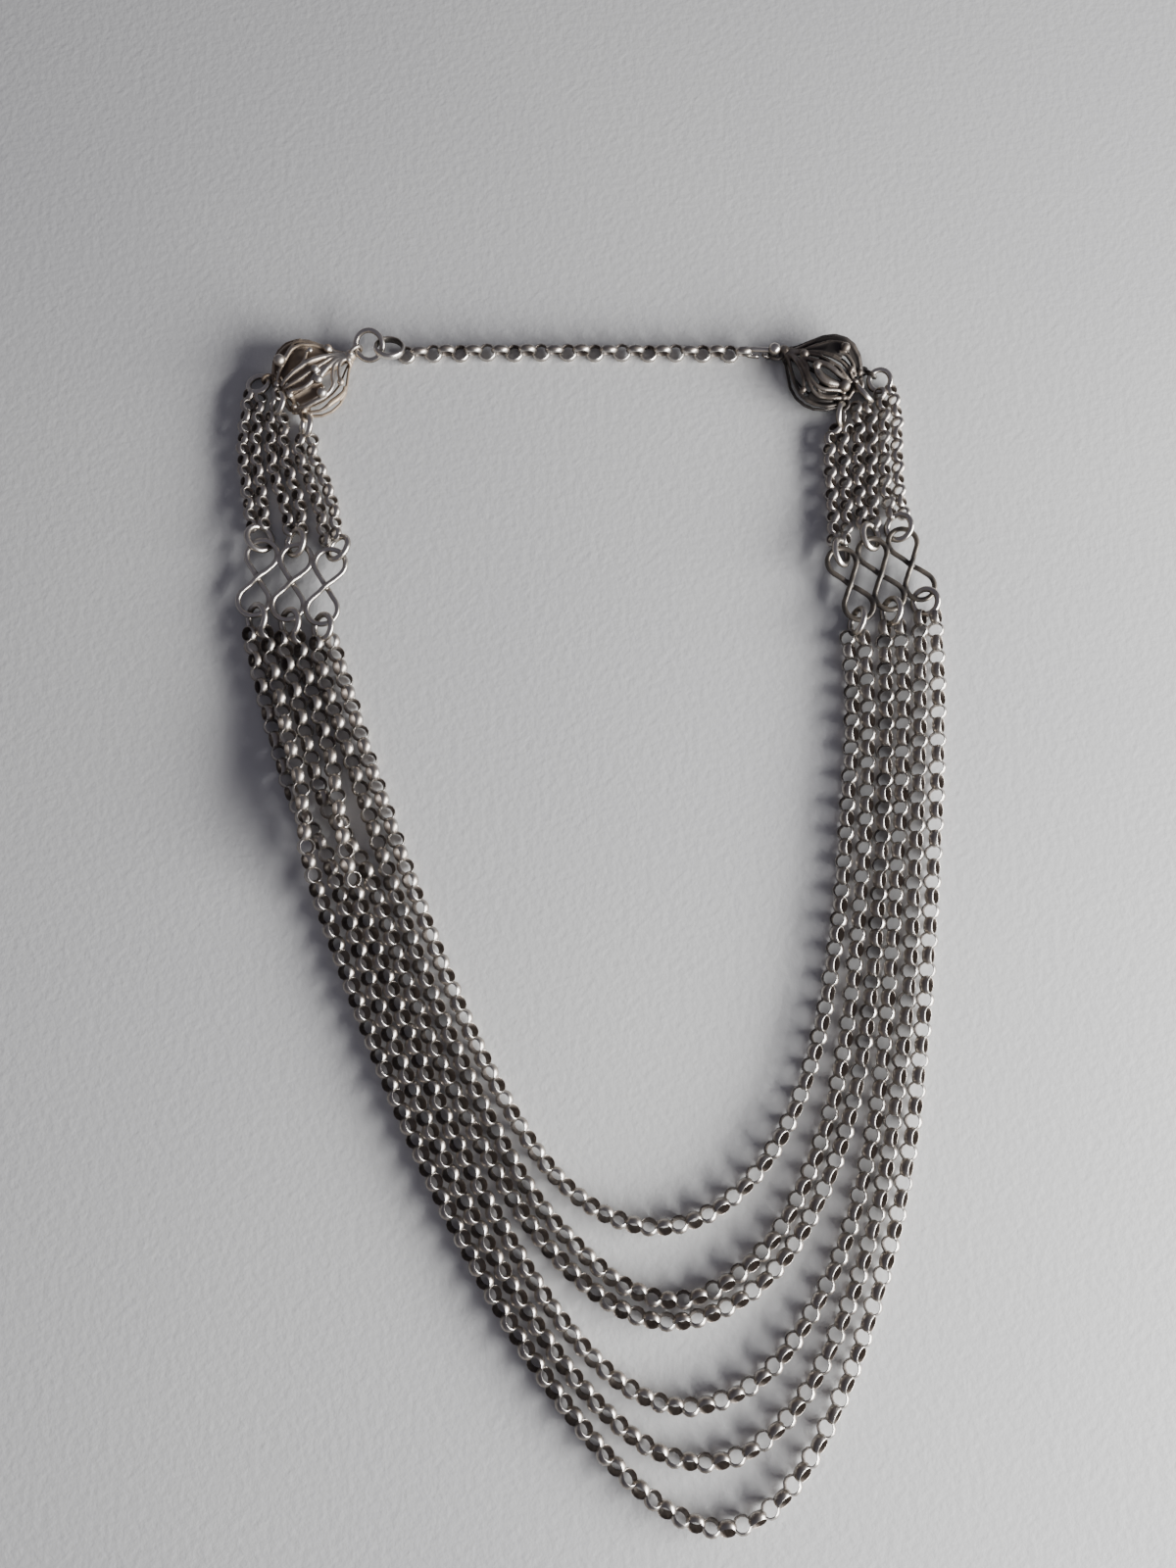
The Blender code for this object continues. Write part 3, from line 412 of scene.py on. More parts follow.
# Finishes of the silver: the bright faces as a share of the polished colour, the colour in
# the hollows and between (None takes the panel's), how much rougher than the panel's polish
# the bright faces are, roughness and metal of the hollows, and the scale of the grime
SILVER_FINISHES = {
    "wire": {
        "share": 1.0, "dark": (0.10, 0.09, 0.08, 1), "warm": (0.36, 0.31, 0.25, 1),
        "rougher": 0.04, "rough": 0.42, "metal": 0.62, "grime": 420.0,
    },
    "cast_worn": {
        "share": 0.82, "dark": (0.23, 0.18, 0.135, 1), "warm": (0.41, 0.325, 0.24, 1),
        "rougher": 0.15, "rough": 0.58, "metal": 0.22, "grime": 360.0,
    },
    "cast": {
        "share": 1.0, "dark": None, "warm": None,
        "rougher": 0.10, "rough": 0.50, "metal": 0.50, "grime": 360.0,
    },
    "fine_links": {
        "share": 0.82, "dark": (0.215, 0.185, 0.158, 1), "warm": (0.42, 0.36, 0.31, 1),
        "rougher": 0.07, "rough": 0.54, "metal": 0.50, "grime": 520.0,
    },
    "links": {
        "share": 0.88 * 0.82, "dark": (0.18, 0.153, 0.132, 1), "warm": (0.33, 0.28, 0.235, 1),
        "rougher": 0.09, "rough": 0.52, "metal": 0.50, "grime": 520.0,
    },
}


class NecklaceChainSizes(bpy.types.PropertyGroup):
    """Sizes of the chains' links and of the rings."""
    link_outer: FloatProperty(name="Link width", description="Outside diameter of a long strand's link",
                              default=0.00378, unit="LENGTH", min=0.002, max=0.01)
    link_wall: FloatProperty(name="Link wall", description="Thickness of a long strand's link",
                             default=0.00044, unit="LENGTH", min=0.0002, max=0.002)
    link_band: FloatProperty(name="Link band", description="Width of the band that a long link is made of",
                             default=0.00182, unit="LENGTH", min=0.0003, max=0.004)
    link_pitch: FloatProperty(name="Link pitch", description="Distance from a long link to the next one",
                              default=0.00294, unit="LENGTH", min=0.001, max=0.01)
    short_outer: FloatProperty(name="Short link width", description="Outside diameter of a short link",
                               default=0.0033, unit="LENGTH", min=0.002, max=0.01)
    short_pitch: FloatProperty(name="Short link pitch", description="Distance from a short link to the next",
                               default=0.00249, unit="LENGTH", min=0.001, max=0.01)
    back_pitch: FloatProperty(name="Back link pitch", description="Distance between links of the back chain",
                              default=0.002916, unit="LENGTH", min=0.001, max=0.01)
    link_lean: FloatProperty(name="Link lean", description="How far the links lean to either side",
                             default=math.radians(41), unit="ROTATION", min=0.0, max=math.pi / 2)
    crossing_lift: FloatProperty(name="Crossing lift", description="Rise of the links where strands cross",
                                 default=1.18, min=1.0, max=1.5, subtype="FACTOR")
    wire_swell: FloatProperty(name="Wire swell", description="How much thicker the soft, worn wire looks",
                              default=0.00024, unit="LENGTH", min=0.0, max=0.0005, precision=5)
    link_faces: IntProperty(name="Link segments", description="Segments round each link",
                            default=12, min=8, max=24)


class NecklaceFinish(bpy.types.PropertyGroup):
    """Colours of the metal and of the table."""
    polished: FloatVectorProperty(name="Polished silver", description="Colour of the worn, bright faces",
                                  subtype="COLOR", size=4, default=(0.70, 0.66, 0.61, 1), min=0, max=1)
    oxidised: FloatVectorProperty(name="Oxidised silver", description="Colour of the dark inner faces",
                                  subtype="COLOR", size=4, default=(0.060, 0.052, 0.047, 1), min=0, max=1)
    tarnish: FloatVectorProperty(name="Tarnish", description="Warm colour between the bright and the dark",
                                 subtype="COLOR", size=4, default=(0.24, 0.20, 0.165, 1), min=0, max=1)
    table: FloatVectorProperty(name="Table", description="Colour of the surface under the necklace",
                               subtype="COLOR", size=4, default=(0.70, 0.70, 0.69, 1), min=0, max=1)
    polish_roughness: FloatProperty(name="Polish roughness", description="Roughness of the bright faces",
                                    default=0.24, min=0.0, max=1.0, subtype="FACTOR")
    bud_detail: FloatProperty(name="Bud detail", description="Size of the cells that melt a bud together",
                              default=0.00014, unit="LENGTH", min=0.00008, max=0.0005, precision=5)


def clamp(value, edge_shade=0.0, high=1.0):
    """The value, kept between two limits."""
    return max(edge_shade, min(high, value))


def heading(degrees):
    """Unit vector on the table."""
    return Vector((math.cos(math.radians(degrees)), math.sin(math.radians(degrees)), 0.0))


def ring_frame(centre, turn, roll):
    """Frame of a ring: X along its heading, Y rolled about X, Z its axle."""
    matrix = Matrix.Rotation(math.radians(turn), 4, "Z") @ Matrix.Rotation(math.radians(roll), 4, "X")
    return Matrix.Translation(centre) @ matrix


def lying(outer, wire, roll):
    """Height of the middle of a rolled ring that lies on the table."""
    return (outer - wire) / 2 * abs(math.sin(math.radians(roll))) + wire / 2


def smooth_route(points, step):
    """Even points, step apart, on a smooth curve through the given ones."""
    fine = []
    ends = [points[0] * 2 - points[1]] + points + [points[-1] * 2 - points[-2]]
    for a, b, c, d in zip(ends, ends[1:], ends[2:], ends[3:]):
        for share in range(16):
            t = share / 16
            fine.append(0.5 * (2 * b + (c - a) * t + (2 * a - 5 * b + 4 * c - d) * t * t
                               + (3 * b - a - 3 * c + d) * t * t * t))
    fine.append(points[-1])
    lengths = [0.0]
    for one, two in zip(fine, fine[1:]):
        lengths.append(lengths[-1] + (two - one).length)
    count = max(3, round(lengths[-1] / step))
    route = []
    at = 0
    for number in range(count + 1):
        goal = lengths[-1] * number / count
        while at < len(fine) - 2 and lengths[at + 1] < goal:
            at += 1
        share = (goal - lengths[at]) / (lengths[at + 1] - lengths[at])
        route.append(fine[at].lerp(fine[at + 1], share))
    return route


def row_places(side):
    """Frame, loop radius and loop centres of a row of figure-eights."""
    row = EIGHT_ROWS[side]
    radius = row["width"] * mm / 2 - EIGHT_WIRE / 2
    middle = row["length"] * mm / 2 - EIGHT_WIRE / 2 - radius
    pitch = row["width"] * mm - EIGHT_JOIN
    place = ring_frame((row["middle"][0] * mm, row["middle"][1] * mm, EIGHT_LEVEL), row["turn"], 0)
    return place, radius, middle, pitch


def row_rings(side, level):
    """Centre, heading, roll and outside diameter of the rings above or below a row."""
    place, radius, middle, pitch = row_places(side)
    outer = UPPER_RING if level == "upper" else LOWER_RING
    end = middle if level == "upper" else -middle
    rings = []
    for number, (angle, reach, lift, roll) in enumerate(EIGHT_ROWS[side][level]):
        centre = place @ Vector(((number - 1) * pitch, end, 0)) + heading(angle) * (radius + reach * mm)
        centre.z = lying(outer, RING_WIRE, roll) + lift * mm
        rings.append((centre, angle, roll, outer))
    return rings


def bud_frame(side):
    """Frame of a bud: its base is the origin, and +X goes to its tip."""
    x, y = BUDS[side]["base"]
    return ring_frame((x * mm, y * mm, 0), BUDS[side]["turn"], 0)


def tip_place(side):
    """Middle of the eye at a bud's tip, in the bud's frame."""
    sunk, across, _ = BUDS[side]["tip"]
    return Vector((BUD_LENGTH + TIP_EYE / 2 - sunk * mm, across * mm, TIP_EYE_LEVEL))


def bud_eyelets(side):
    """Middle of each eyelet on a bud, in its frame, with the heading and roll of its ring."""
    eyelets = []
    for along, across, lift, turn, roll in BUDS[side]["rings"]:
        level = lying(BUD_RING, BUD_RING_WIRE, roll) + lift * mm
        eyelets.append((Vector((along * BUD_LENGTH, across * BUD_HALF_WIDTH, level)), turn, roll))
    return eyelets


def bud_rings(side):
    """The same as for a row, for the rings on a bud."""
    rings = []
    for eye, turn, roll in bud_eyelets(side):
        hang = heading(turn - BUDS[side]["turn"]) * (BUD_RING / 2 - BUD_RING_WIRE / 2)
        rings.append((bud_frame(side) @ (eye + hang), turn, roll, BUD_RING))
    return rings


def clasp_middle():
    """Middle of the clasp ring."""
    spot = bud_frame("left") @ tip_place("left")
    spot += heading(CLASP_HEADING) * ((CLASP_RING - CLASP_RING_WIRE) / 2 + CLASP_SLACK)
    return spot + Vector((0, 0, CLASP_RISE))


def catch_middle():
    """Middle of the catch ring."""
    apart = (CLASP_RING - CLASP_RING_WIRE) / 2 + (CATCH_RING - CATCH_WALL) / 2 - CATCH_REACH
    return clasp_middle() + heading(CATCH_HEADING) * apart + Vector((0, 0, CATCH_RISE))


def hook_frame():
    """Frame of the hook, its middle line's middle as the origin."""
    eye = bud_frame("right") @ tip_place("right")
    eye -= heading(HOOK_TURN) * (HOOK_LENGTH / 2 + HOOK_BEND + HOOK_SLACK)
    return ring_frame((eye.x, eye.y, HOOK_BEND + HOOK_WIRE / 2 + 0.1 * mm), HOOK_TURN, 0)


def ring_exit(ring, exit_heading, side, pitch):
    """Where one chain of a pair ends beside the ring that carries both."""
    centre, _, _, outer = ring
    out = heading(exit_heading)
    across = Vector((-out.y, out.x, 0)) * (side * pitch / 2)
    if out.y < 0:
        across = -across
    return centre + out * (outer / 2 + CLEARANCE + CHAIN_START) - across


# Shared by every piece

def finish_mesh(name, bm):
    """Turn a bmesh into a smooth mesh whose faces point out."""
    bmesh.ops.recalc_face_normals(bm, faces=bm.faces)
    mesh = bpy.data.meshes.new(name)
    bm.to_mesh(mesh)
    bm.free()
    mesh.shade_smooth()
    return mesh


def place_piece(name, mesh, material, nodes):
    """Link a finished mesh as a piece that stands for CAD nodes."""
    mesh.transform(Matrix.Translation(TO_MIDDLE))
    piece = bpy.data.objects.new(name, mesh)
    bpy.context.scene.collection.objects.link(piece)
    mesh.materials.clear()
    mesh.materials.append(material)
    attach(piece, "root")
    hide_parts(*nodes)


def ring_template(outline, around, name):
    """A ring about Z, spun from an outline of (radius, height, polish).

    Polish runs from 0 in a hollow to 1 on a crown, and the silver's material reads it.
    """
    bm = bmesh.new()
    layer = bm.verts.layers.float.new("polish")
    verts = []
    for radius, height, polish in outline:
        vert = bm.verts.new((radius, 0, height))
        vert[layer] = polish
        verts.append(vert)
    for one, two in zip(verts, verts[1:] + verts[:1]):
        bm.edges.new((one, two))
    bmesh.ops.spin(bm, geom=bm.verts[:] + bm.edges[:], cent=(0, 0, 0), axis=(0, 0, 1),
                   angle=math.tau, steps=around, use_merge=True)
    return finish_mesh(name, bm)


def link_template(outer, wall, band, around):
    """One chain link: a short piece of domed tube."""
    crown, inner, half = outer / 2, outer / 2 - wall, band / 2
    outline = [
        (inner, -0.90 * half, 0.0), (inner, 0.90 * half, 0.0),
        (inner + 0.16 * wall, half, 0.95), (crown - 0.62 * wall, 0.88 * half, 0.85),
        (crown - 0.24 * wall, 0.52 * half, 0.65), (crown, 0.0, 0.40),
        (crown - 0.24 * wall, -0.52 * half, 0.65), (crown - 0.62 * wall, -0.88 * half, 0.85),
        (inner + 0.16 * wall, -half, 0.95),
    ]
    return ring_template(outline, around, "link")


def wire_ring_template(outer, wire, around=36, sides=12):
    """A round wire ring, which gets its polish once it is in its place."""
    outline = []
    for side in range(sides):
        angle = math.tau * side / sides
        outline.append((outer / 2 - wire / 2 + wire / 2 * math.cos(angle), wire / 2 * math.sin(angle), 0.0))
    return ring_template(outline, around, "jump_ring")


def add_copy(bm, mesh, matrix):
    """Add a placed copy of a link."""
    start = len(bm.verts)
    bm.from_mesh(mesh)
    bm.verts.ensure_lookup_table()
    bmesh.ops.transform(bm, matrix=matrix, verts=bm.verts[start:])


def link_frames(route, count, leans, rest, lift):
    """The frame of each link along a chain."""
    frames = []
    last = len(route) - 1
    for number in range(count):
        at = last * number / (count - 1)
        edge_shade = min(int(at), last - 1)
        spot = route[edge_shade].lerp(route[edge_shade + 1], at - edge_shade)
        ahead = (route[min(edge_shade + 2, last)] - route[max(edge_shade - 1, 0)]).normalized()
        side = Vector((0, 0, 1)).cross(ahead).normalized()
        up = ahead.cross(side)
        lean = leans(number, spot, ahead.y)
        across = side * math.cos(lean) + up * math.sin(lean)
        axle = ahead.cross(across)
        centre = Vector((spot.x, spot.y, rest(lean) + lift * spot.z))
        frames.append(Matrix((
            (ahead.x, across.x, axle.x, centre.x), (ahead.y, across.y, axle.y, centre.y),
            (ahead.z, across.z, axle.z, centre.z), (0, 0, 0, 1))))
    return frames


def chain_mesh(name, points, ends, outer, wall, band, pitch, lean, around, lift=1.0):
    """All the links of one chain as one mesh."""
    stops = [Vector((p[0] * mm, p[1] * mm, p[2] * mm if len(p) > 2 else 0)) for p in points]
    start, end = (Vector((e.x, e.y, 0)) for e in ends)
    start += (start - stops[0]).normalized() * CHAIN_REACH
    end += (end - stops[-1]).normalized() * CHAIN_REACH
    route = smooth_route([start] + stops + [end], ROUTE_STEP)
    length = sum((b - a).length for a, b in zip(route, route[1:]))
    count = round(length / pitch) + 1
    link = link_template(outer, wall, band, around)

    def rest(angle):
        # The domed crown and the rounded edge let a link lie a little lower than its size
        return outer / 2 * 0.985 * abs(math.sin(angle)) + band / 2 * 0.9 * abs(math.cos(angle))

    bm = bmesh.new()
    bm.verts.layers.float.new("polish")
    for place in link_frames(route, count, lean, rest, lift):
        add_copy(bm, link, place)
    return finish_mesh(name, bm)


def wire_mesh(name, routes, sides):
    """Round wires of varying thickness along routes of (point, thickness)."""
    curve = bpy.data.curves.new(name, "CURVE")
    curve.dimensions = "3D"
    curve.bevel_depth = 0.5 * mm
    curve.bevel_resolution = (sides - 4) // 2
    curve.resolution_u = 1
    curve.use_fill_caps = True
    for marks, closed in routes:
        spline = curve.splines.new("POLY")
        spline.points.add(len(marks) - 1)
        for spot, (point, thickness) in zip(spline.points, marks):
            spot.co = (*point, 1.0)
            spot.radius = thickness / mm
        spline.use_cyclic_u = closed
    helper = bpy.data.objects.new(name, curve)
    bpy.context.scene.collection.objects.link(helper)
    mesh = bpy.data.meshes.new_from_object(helper.evaluated_get(bpy.context.evaluated_depsgraph_get()))
    bpy.data.objects.remove(helper, do_unlink=True)
    bpy.data.curves.remove(curve)
    bm = bmesh.new()
    bm.from_mesh(mesh)
    bmesh.ops.remove_doubles(bm, verts=bm.verts, dist=1e-6)
    return finish_mesh(name, bm)


def melt(name, bm, cell):
    """Melt overlapping metal into one skin with soft joints."""
    mesh = finish_mesh(name, bm)
    helper = bpy.data.objects.new(name, mesh)
    bpy.context.scene.collection.objects.link(helper)
    remesh = helper.modifiers.new("melt", "REMESH")
    remesh.mode = "VOXEL"
    remesh.voxel_size = cell
    remesh.adaptivity = 0.0
    soft = helper.modifiers.new("soften", "SMOOTH")
    soft.factor = 0.5
    soft.iterations = 2
    skin = bpy.data.meshes.new_from_object(helper.evaluated_get(bpy.context.evaluated_depsgraph_get()))
    bpy.data.objects.remove(helper, do_unlink=True)
    bpy.data.meshes.remove(mesh)
    skin.shade_smooth()
    return skin


def set_polish(mesh, rule):
    """Write the polish of every vertex, with any painted light and shade, from a rule of its place and
    normal.
    """
    layer = mesh.attributes.get("polish") or mesh.attributes.new("polish", "FLOAT", "POINT")
    for vert in mesh.vertices:
        layer.data[vert.index].value = clamp(rule(vert.co, vert.normal))


def worn_and_shaded(normal):
    """Polish of a plain wire: worn and painted light on top, painted shade at the sides and below."""
    return clamp((normal.z - WEAR_SHADE_FROM) / WEAR_SHADE_SPAN) * WEAR_SHADE_MOST


# Materials

def silver_material(name, bright, dark, warm, smooth, rough, hollow_metal, grime_scale):
    """Oxidised silver: bright where the polish layer is high, which also holds painted light and shade, dark
    and warm in the hollows.
    """
    material = bpy.data.materials.new(name)
    material.use_nodes = True
    tree = material.node_tree
    nodes, links = tree.nodes, tree.links
    shader = nodes["Principled BSDF"]

    polish = nodes.new("ShaderNodeAttribute")
    polish.attribute_name = "polish"
    place = nodes.new("ShaderNodeTexCoord")
    grime = nodes.new("ShaderNodeTexNoise")
    grime.inputs["Scale"].default_value = grime_scale
    grime.inputs["Detail"].default_value = 5.0
    links.new(place.outputs["Object"], grime.inputs["Vector"])

    level = nodes.new("ShaderNodeMath")
    level.operation = "MULTIPLY_ADD"
    level.inputs[1].default_value = 0.55
    links.new(grime.outputs["Fac"], level.inputs[0])
    links.new(polish.outputs["Fac"], level.inputs[2])

    colour = nodes.new("ShaderNodeValToRGB")
    ramp = colour.color_ramp
    ramp.elements[0].position = 0.30
    ramp.elements[0].color = dark
    ramp.elements[1].position = 1.0
    ramp.elements[1].color = bright
    ramp.elements.new(0.62).color = warm
    links.new(level.outputs["Value"], colour.inputs["Fac"])
    links.new(colour.outputs["Color"], shader.inputs["Base Color"])

    gloss = nodes.new("ShaderNodeMapRange")
    gloss.inputs["From Min"].default_value = 0.3
    gloss.inputs["From Max"].default_value = 1.0
    gloss.inputs["To Min"].default_value = rough
    gloss.inputs["To Max"].default_value = smooth
    links.new(level.outputs["Value"], gloss.inputs["Value"])
    links.new(gloss.outputs["Result"], shader.inputs["Roughness"])

    bare = nodes.new("ShaderNodeMapRange")
    bare.inputs["From Min"].default_value = 0.3
    bare.inputs["From Max"].default_value = 0.8
    bare.inputs["To Min"].default_value = hollow_metal
    bare.inputs["To Max"].default_value = 1.0
    links.new(level.outputs["Value"], bare.inputs["Value"])
    links.new(bare.outputs["Result"], shader.inputs["Metallic"])

    scratches = nodes.new("ShaderNodeTexNoise")
    scratches.inputs["Scale"].default_value = 2600.0
    scratches.inputs["Detail"].default_value = 3.0
    links.new(place.outputs["Object"], scratches.inputs["Vector"])
    bump = nodes.new("ShaderNodeBump")
    bump.inputs["Strength"].default_value = 0.05
    bump.inputs["Distance"].default_value = 0.00004
    links.new(scratches.outputs["Fac"], bump.inputs["Height"])
    links.new(bump.outputs["Normal"], shader.inputs["Normal"])
    return material


def metal(kind):
    """The finish of a kind of piece, made once."""
    name = "silver_" + kind
    if name in bpy.data.materials:
        return bpy.data.materials[name]
    finish = bpy.context.scene.necklace_finish
    look = SILVER_FINISHES[kind]
    bright = tuple(look["share"] * part for part in finish.polished[:3]) + (1.0,)
    dark = look["dark"] or tuple(finish.oxidised)
    warm = look["warm"] or tuple(finish.tarnish)
    smooth = finish.polish_roughness + look["rougher"]
    return silver_material(name, bright, dark, warm, smooth, look["rough"], look["metal"], look["grime"])


def table_material():
    """Pale grey card with a faint grain."""
    finish = bpy.context.scene.necklace_finish
    material = bpy.data.materials.new("table")
    material.use_nodes = True
    nodes, links = material.node_tree.nodes, material.node_tree.links
    shader = nodes["Principled BSDF"]
    shader.inputs["Roughness"].default_value = 0.62
    place = nodes.new("ShaderNodeTexCoord")
    cloud = nodes.new("ShaderNodeTexNoise")
    cloud.inputs["Scale"].default_value = 9.0
    links.new(place.outputs["Object"], cloud.inputs["Vector"])
    colour = nodes.new("ShaderNodeValToRGB")
    base = Vector(finish.table)
    colour.color_ramp.elements[0].position = 0.3
    colour.color_ramp.elements[0].color = (base.x * 0.96, base.y * 0.96, base.z * 0.97, 1)
    colour.color_ramp.elements[1].position = 0.7
    colour.color_ramp.elements[1].color = (base.x * 1.03, base.y * 1.03, base.z * 1.02, 1)
    links.new(cloud.outputs["Fac"], colour.inputs["Fac"])
    links.new(colour.outputs["Color"], shader.inputs["Base Color"])
    grain = nodes.new("ShaderNodeTexNoise")
    grain.inputs["Scale"].default_value = 620.0
    grain.inputs["Detail"].default_value = 4.0
    links.new(place.outputs["Object"], grain.inputs["Vector"])
    bump = nodes.new("ShaderNodeBump")
    bump.inputs["Strength"].default_value = 0.5
    bump.inputs["Distance"].default_value = 0.0002
    links.new(grain.outputs["Fac"], bump.inputs["Height"])
    links.new(bump.outputs["Normal"], shader.inputs["Normal"])
    return material


class NECKLACE_OT_strands(bpy.types.Operator):
    """Add the links of the six long strands"""
    bl_idname = "necklace.strands"
    bl_label = "Long strands"
    bl_options = {"REGISTER", "UNDO"}

    def execute(self, context):
        sizes = context.scene.necklace_chains
        rings = {side: row_rings(side, "lower") for side in ("left", "right")}
        for number, strand in enumerate(STRANDS):
            ends = []
            for side in ("left", "right"):
                ring, lean = strand[side]
                ends.append(ring_exit(rings[side][ring], LOWER_EXITS[side][ring], lean, STRAND_PAIR_PITCH))
            first = strand["first"]

            def lean_of(link, spot, run, first=first):
                slack = 0.0
                if spot.x < SLACK_LEFT_OF:
                    slack = clamp((spot.y - SLACK_FROM) / SLACK_RISE)
                    slack *= clamp((SLACK_TO - spot.y) / SLACK_FALL)
                twist = SLACK_TWIST * slack + 0.08 * math.sin(link * 0.83 + first) + 0.24 * run
                return (sizes.link_lean if (link % 2 == 0) == (first > 0) else -sizes.link_lean) + twist

            name = "strand_%d" % (number + 1)
            mesh = chain_mesh(name, strand["points"], ends, sizes.link_outer, sizes.link_wall,
                              sizes.link_band, sizes.link_pitch, lean_of, sizes.link_faces,
                              sizes.crossing_lift)
            place_piece(name + "_links", mesh, metal("links"), [name])
        return {"FINISHED"}


class NECKLACE_OT_short_chains(bpy.types.Operator):
    """Add the links of the short chains between the buds and the figure-eights"""
    bl_idname = "necklace.short_chains"
    bl_label = "Short chains"
    bl_options = {"REGISTER", "UNDO"}

    def execute(self, context):
        sizes = context.scene.necklace_chains
        for side in ("left", "right"):
            tops, feet = bud_rings(side), row_rings(side, "upper")
            for number, (top, top_side, foot, foot_side, points) in enumerate(SHORT_CHAINS[side]):
                ends = [
                    ring_exit(tops[top], BUD_EXITS[side][top], top_side, SHORT_PAIR_PITCH),
                    ring_exit(feet[foot], UPPER_EXITS[side][foot], foot_side, SHORT_PAIR_PITCH),
                ]

                def lean_of(link, spot, run, number=number):
                    lean = sizes.link_lean if (link + number) % 2 == 0 else -sizes.link_lean
                    return lean + 0.12 * math.sin(link * 0.9 + number * 1.7)

                name = "short_chain_%s_%d" % (side, number + 1)
                mesh = chain_mesh(name, points, ends, sizes.short_outer,
                                  sizes.link_wall * SHORT_WALL_SHARE, sizes.link_band * SHORT_BAND_SHARE,
                                  sizes.short_pitch, lean_of, sizes.link_faces)
                place_piece(name + "_links", mesh, metal("fine_links"), [name])
        return {"FINISHED"}


class NECKLACE_OT_back_chain(bpy.types.Operator):
    """Add the links of the back chain"""
    bl_idname = "necklace.back_chain"
    bl_label = "Back chain"
    bl_options = {"REGISTER", "UNDO"}

    def execute(self, context):
        sizes = context.scene.necklace_chains
        gap = CLEARANCE + BACK_CHAIN_START
        start = catch_middle() + Vector((CATCH_RING / 2 + gap, -0.5 * mm, 0))
        end = hook_frame() @ Vector((-HOOK_LENGTH / 2 - HOOK_BEND - HOOK_WIRE / 2 - gap, 0, 0))

        def lean_of(link, spot, run):
            lean = sizes.link_lean if link % 2 == 0 else -sizes.link_lean
            return lean - BACK_LEAN + 0.1 * math.sin(link * 1.3)

        mesh = chain_mesh("back_chain", BACK_CHAIN, [start, end], sizes.link_outer * BACK_OUTER_SHARE,
                          sizes.link_wall * BACK_WALL_SHARE, sizes.link_band * BACK_BAND_SHARE,
                          sizes.back_pitch, lean_of, sizes.link_faces)
        place_piece("back_chain_links", mesh, metal("links"), ["back_chain"])
        return {"FINISHED"}


class NECKLACE_OT_jump_rings(bpy.types.Operator):
    """Add the round wire rings on the buds and above and below the figure-eights"""
    bl_idname = "necklace.jump_rings"
    bl_label = "Jump rings"
    bl_options = {"REGISTER", "UNDO"}

    def execute(self, context):
        sizes = context.scene.necklace_chains
        for side in ("left", "right"):
            groups = {"bud": bud_rings(side), "upper": row_rings(side, "upper"),
                      "lower": row_rings(side, "lower")}
            for level, rings in groups.items():
                for number, (centre, turn, roll, outer) in enumerate(rings):
                    wire = (BUD_RING_WIRE if level == "bud" else RING_WIRE) + sizes.wire_swell
                    mesh = wire_ring_template(outer + sizes.wire_swell, wire)
                    mesh.transform(ring_frame(centre, turn, roll))
                    # Painted light on the ring's top and painted shade at its sides and below, besides its
                    # wear
                    set_polish(mesh, lambda spot, normal: worn_and_shaded(normal))
                    name = "jump_ring_%s_%s_%d" % (level, side, number + 1)
                    place_piece(name + "_wire", mesh, metal("wire"), [name])
        return {"FINISHED"}


def eight_path(radius, middle):
    """Closed line of one figure-eight: two end loops, and the wire crossing itself between them."""
    lean = math.asin(radius / middle)
    path = []
    for end in (1, -1):
        for step in range(33):
            angle = -lean + (math.pi + 2 * lean) * step / 32
            path.append(Vector((radius * math.cos(angle), end * (middle + radius * math.sin(angle)), 0)))
        start = path[-1]
        for step in range(1, 16):
            share = step / 16
            rise = max(0.0, 1 - abs(share - 0.5) / 0.3)
            rise = rise * rise * (3 - 2 * rise)
            path.append(start * (1 - 2 * share) + Vector((0, 0, -end * 0.46 * EIGHT_WIRE * rise)))
    return path


def eights_polish(spots, rubbed):
    """Polish of a row of figure-eights: worn and painted light on top, painted shade at the sides, and dark
    round its joints and crossings.
    """
    def rule(spot, normal):
        near = min((spot - joint).length for joint in spots)
        return rubbed * worn_and_shaded(normal) + min(0.0, (near - JOINT_SHADE) / mm * JOINT_SHADE_SLOPE)

    return rule


class NECKLACE_OT_figure_eights(bpy.types.Operator):
    """Add the two rows of soldered figure-eight links"""
    bl_idname = "necklace.figure_eights"
    bl_label = "Figure-eight rows"
    bl_options = {"REGISTER", "UNDO"}

    def execute(self, context):
        for side, row in EIGHT_ROWS.items():
            row_frame, radius, middle, pitch = row_places(side)
            path = eight_path(radius, middle)
            shifts = [Vector((number * pitch, 0, 0)) for number in (-1, 0, 1)]
            routes = [([(spot + shift, EIGHT_WIRE + EIGHT_SWELL) for spot in path], True) for shift in shifts]
            joints = [shift + Vector((-pitch / 2, end, 0))
                      for shift in shifts[1:] for end in (middle, -middle)]
            bm = bmesh.new()
            bm.from_mesh(wire_mesh("eights", routes, 14))
            for spot in joints:
                solder = Matrix.Translation(spot) @ Matrix.Diagonal(EIGHT_JOINT_SHAPE)
                bmesh.ops.create_uvsphere(bm, u_segments=16, v_segments=10, radius=EIGHT_JOINT, matrix=solder)
            mesh = melt("eights", bm, EIGHT_CELL)
            set_polish(mesh, eights_polish(joints + shifts, row["rubbed"]))
            mesh.transform(row_frame)
            name = "figure_eights_" + side
            place_piece(name + "_wire", mesh, metal("wire"), [name])
        return {"FINISHED"}


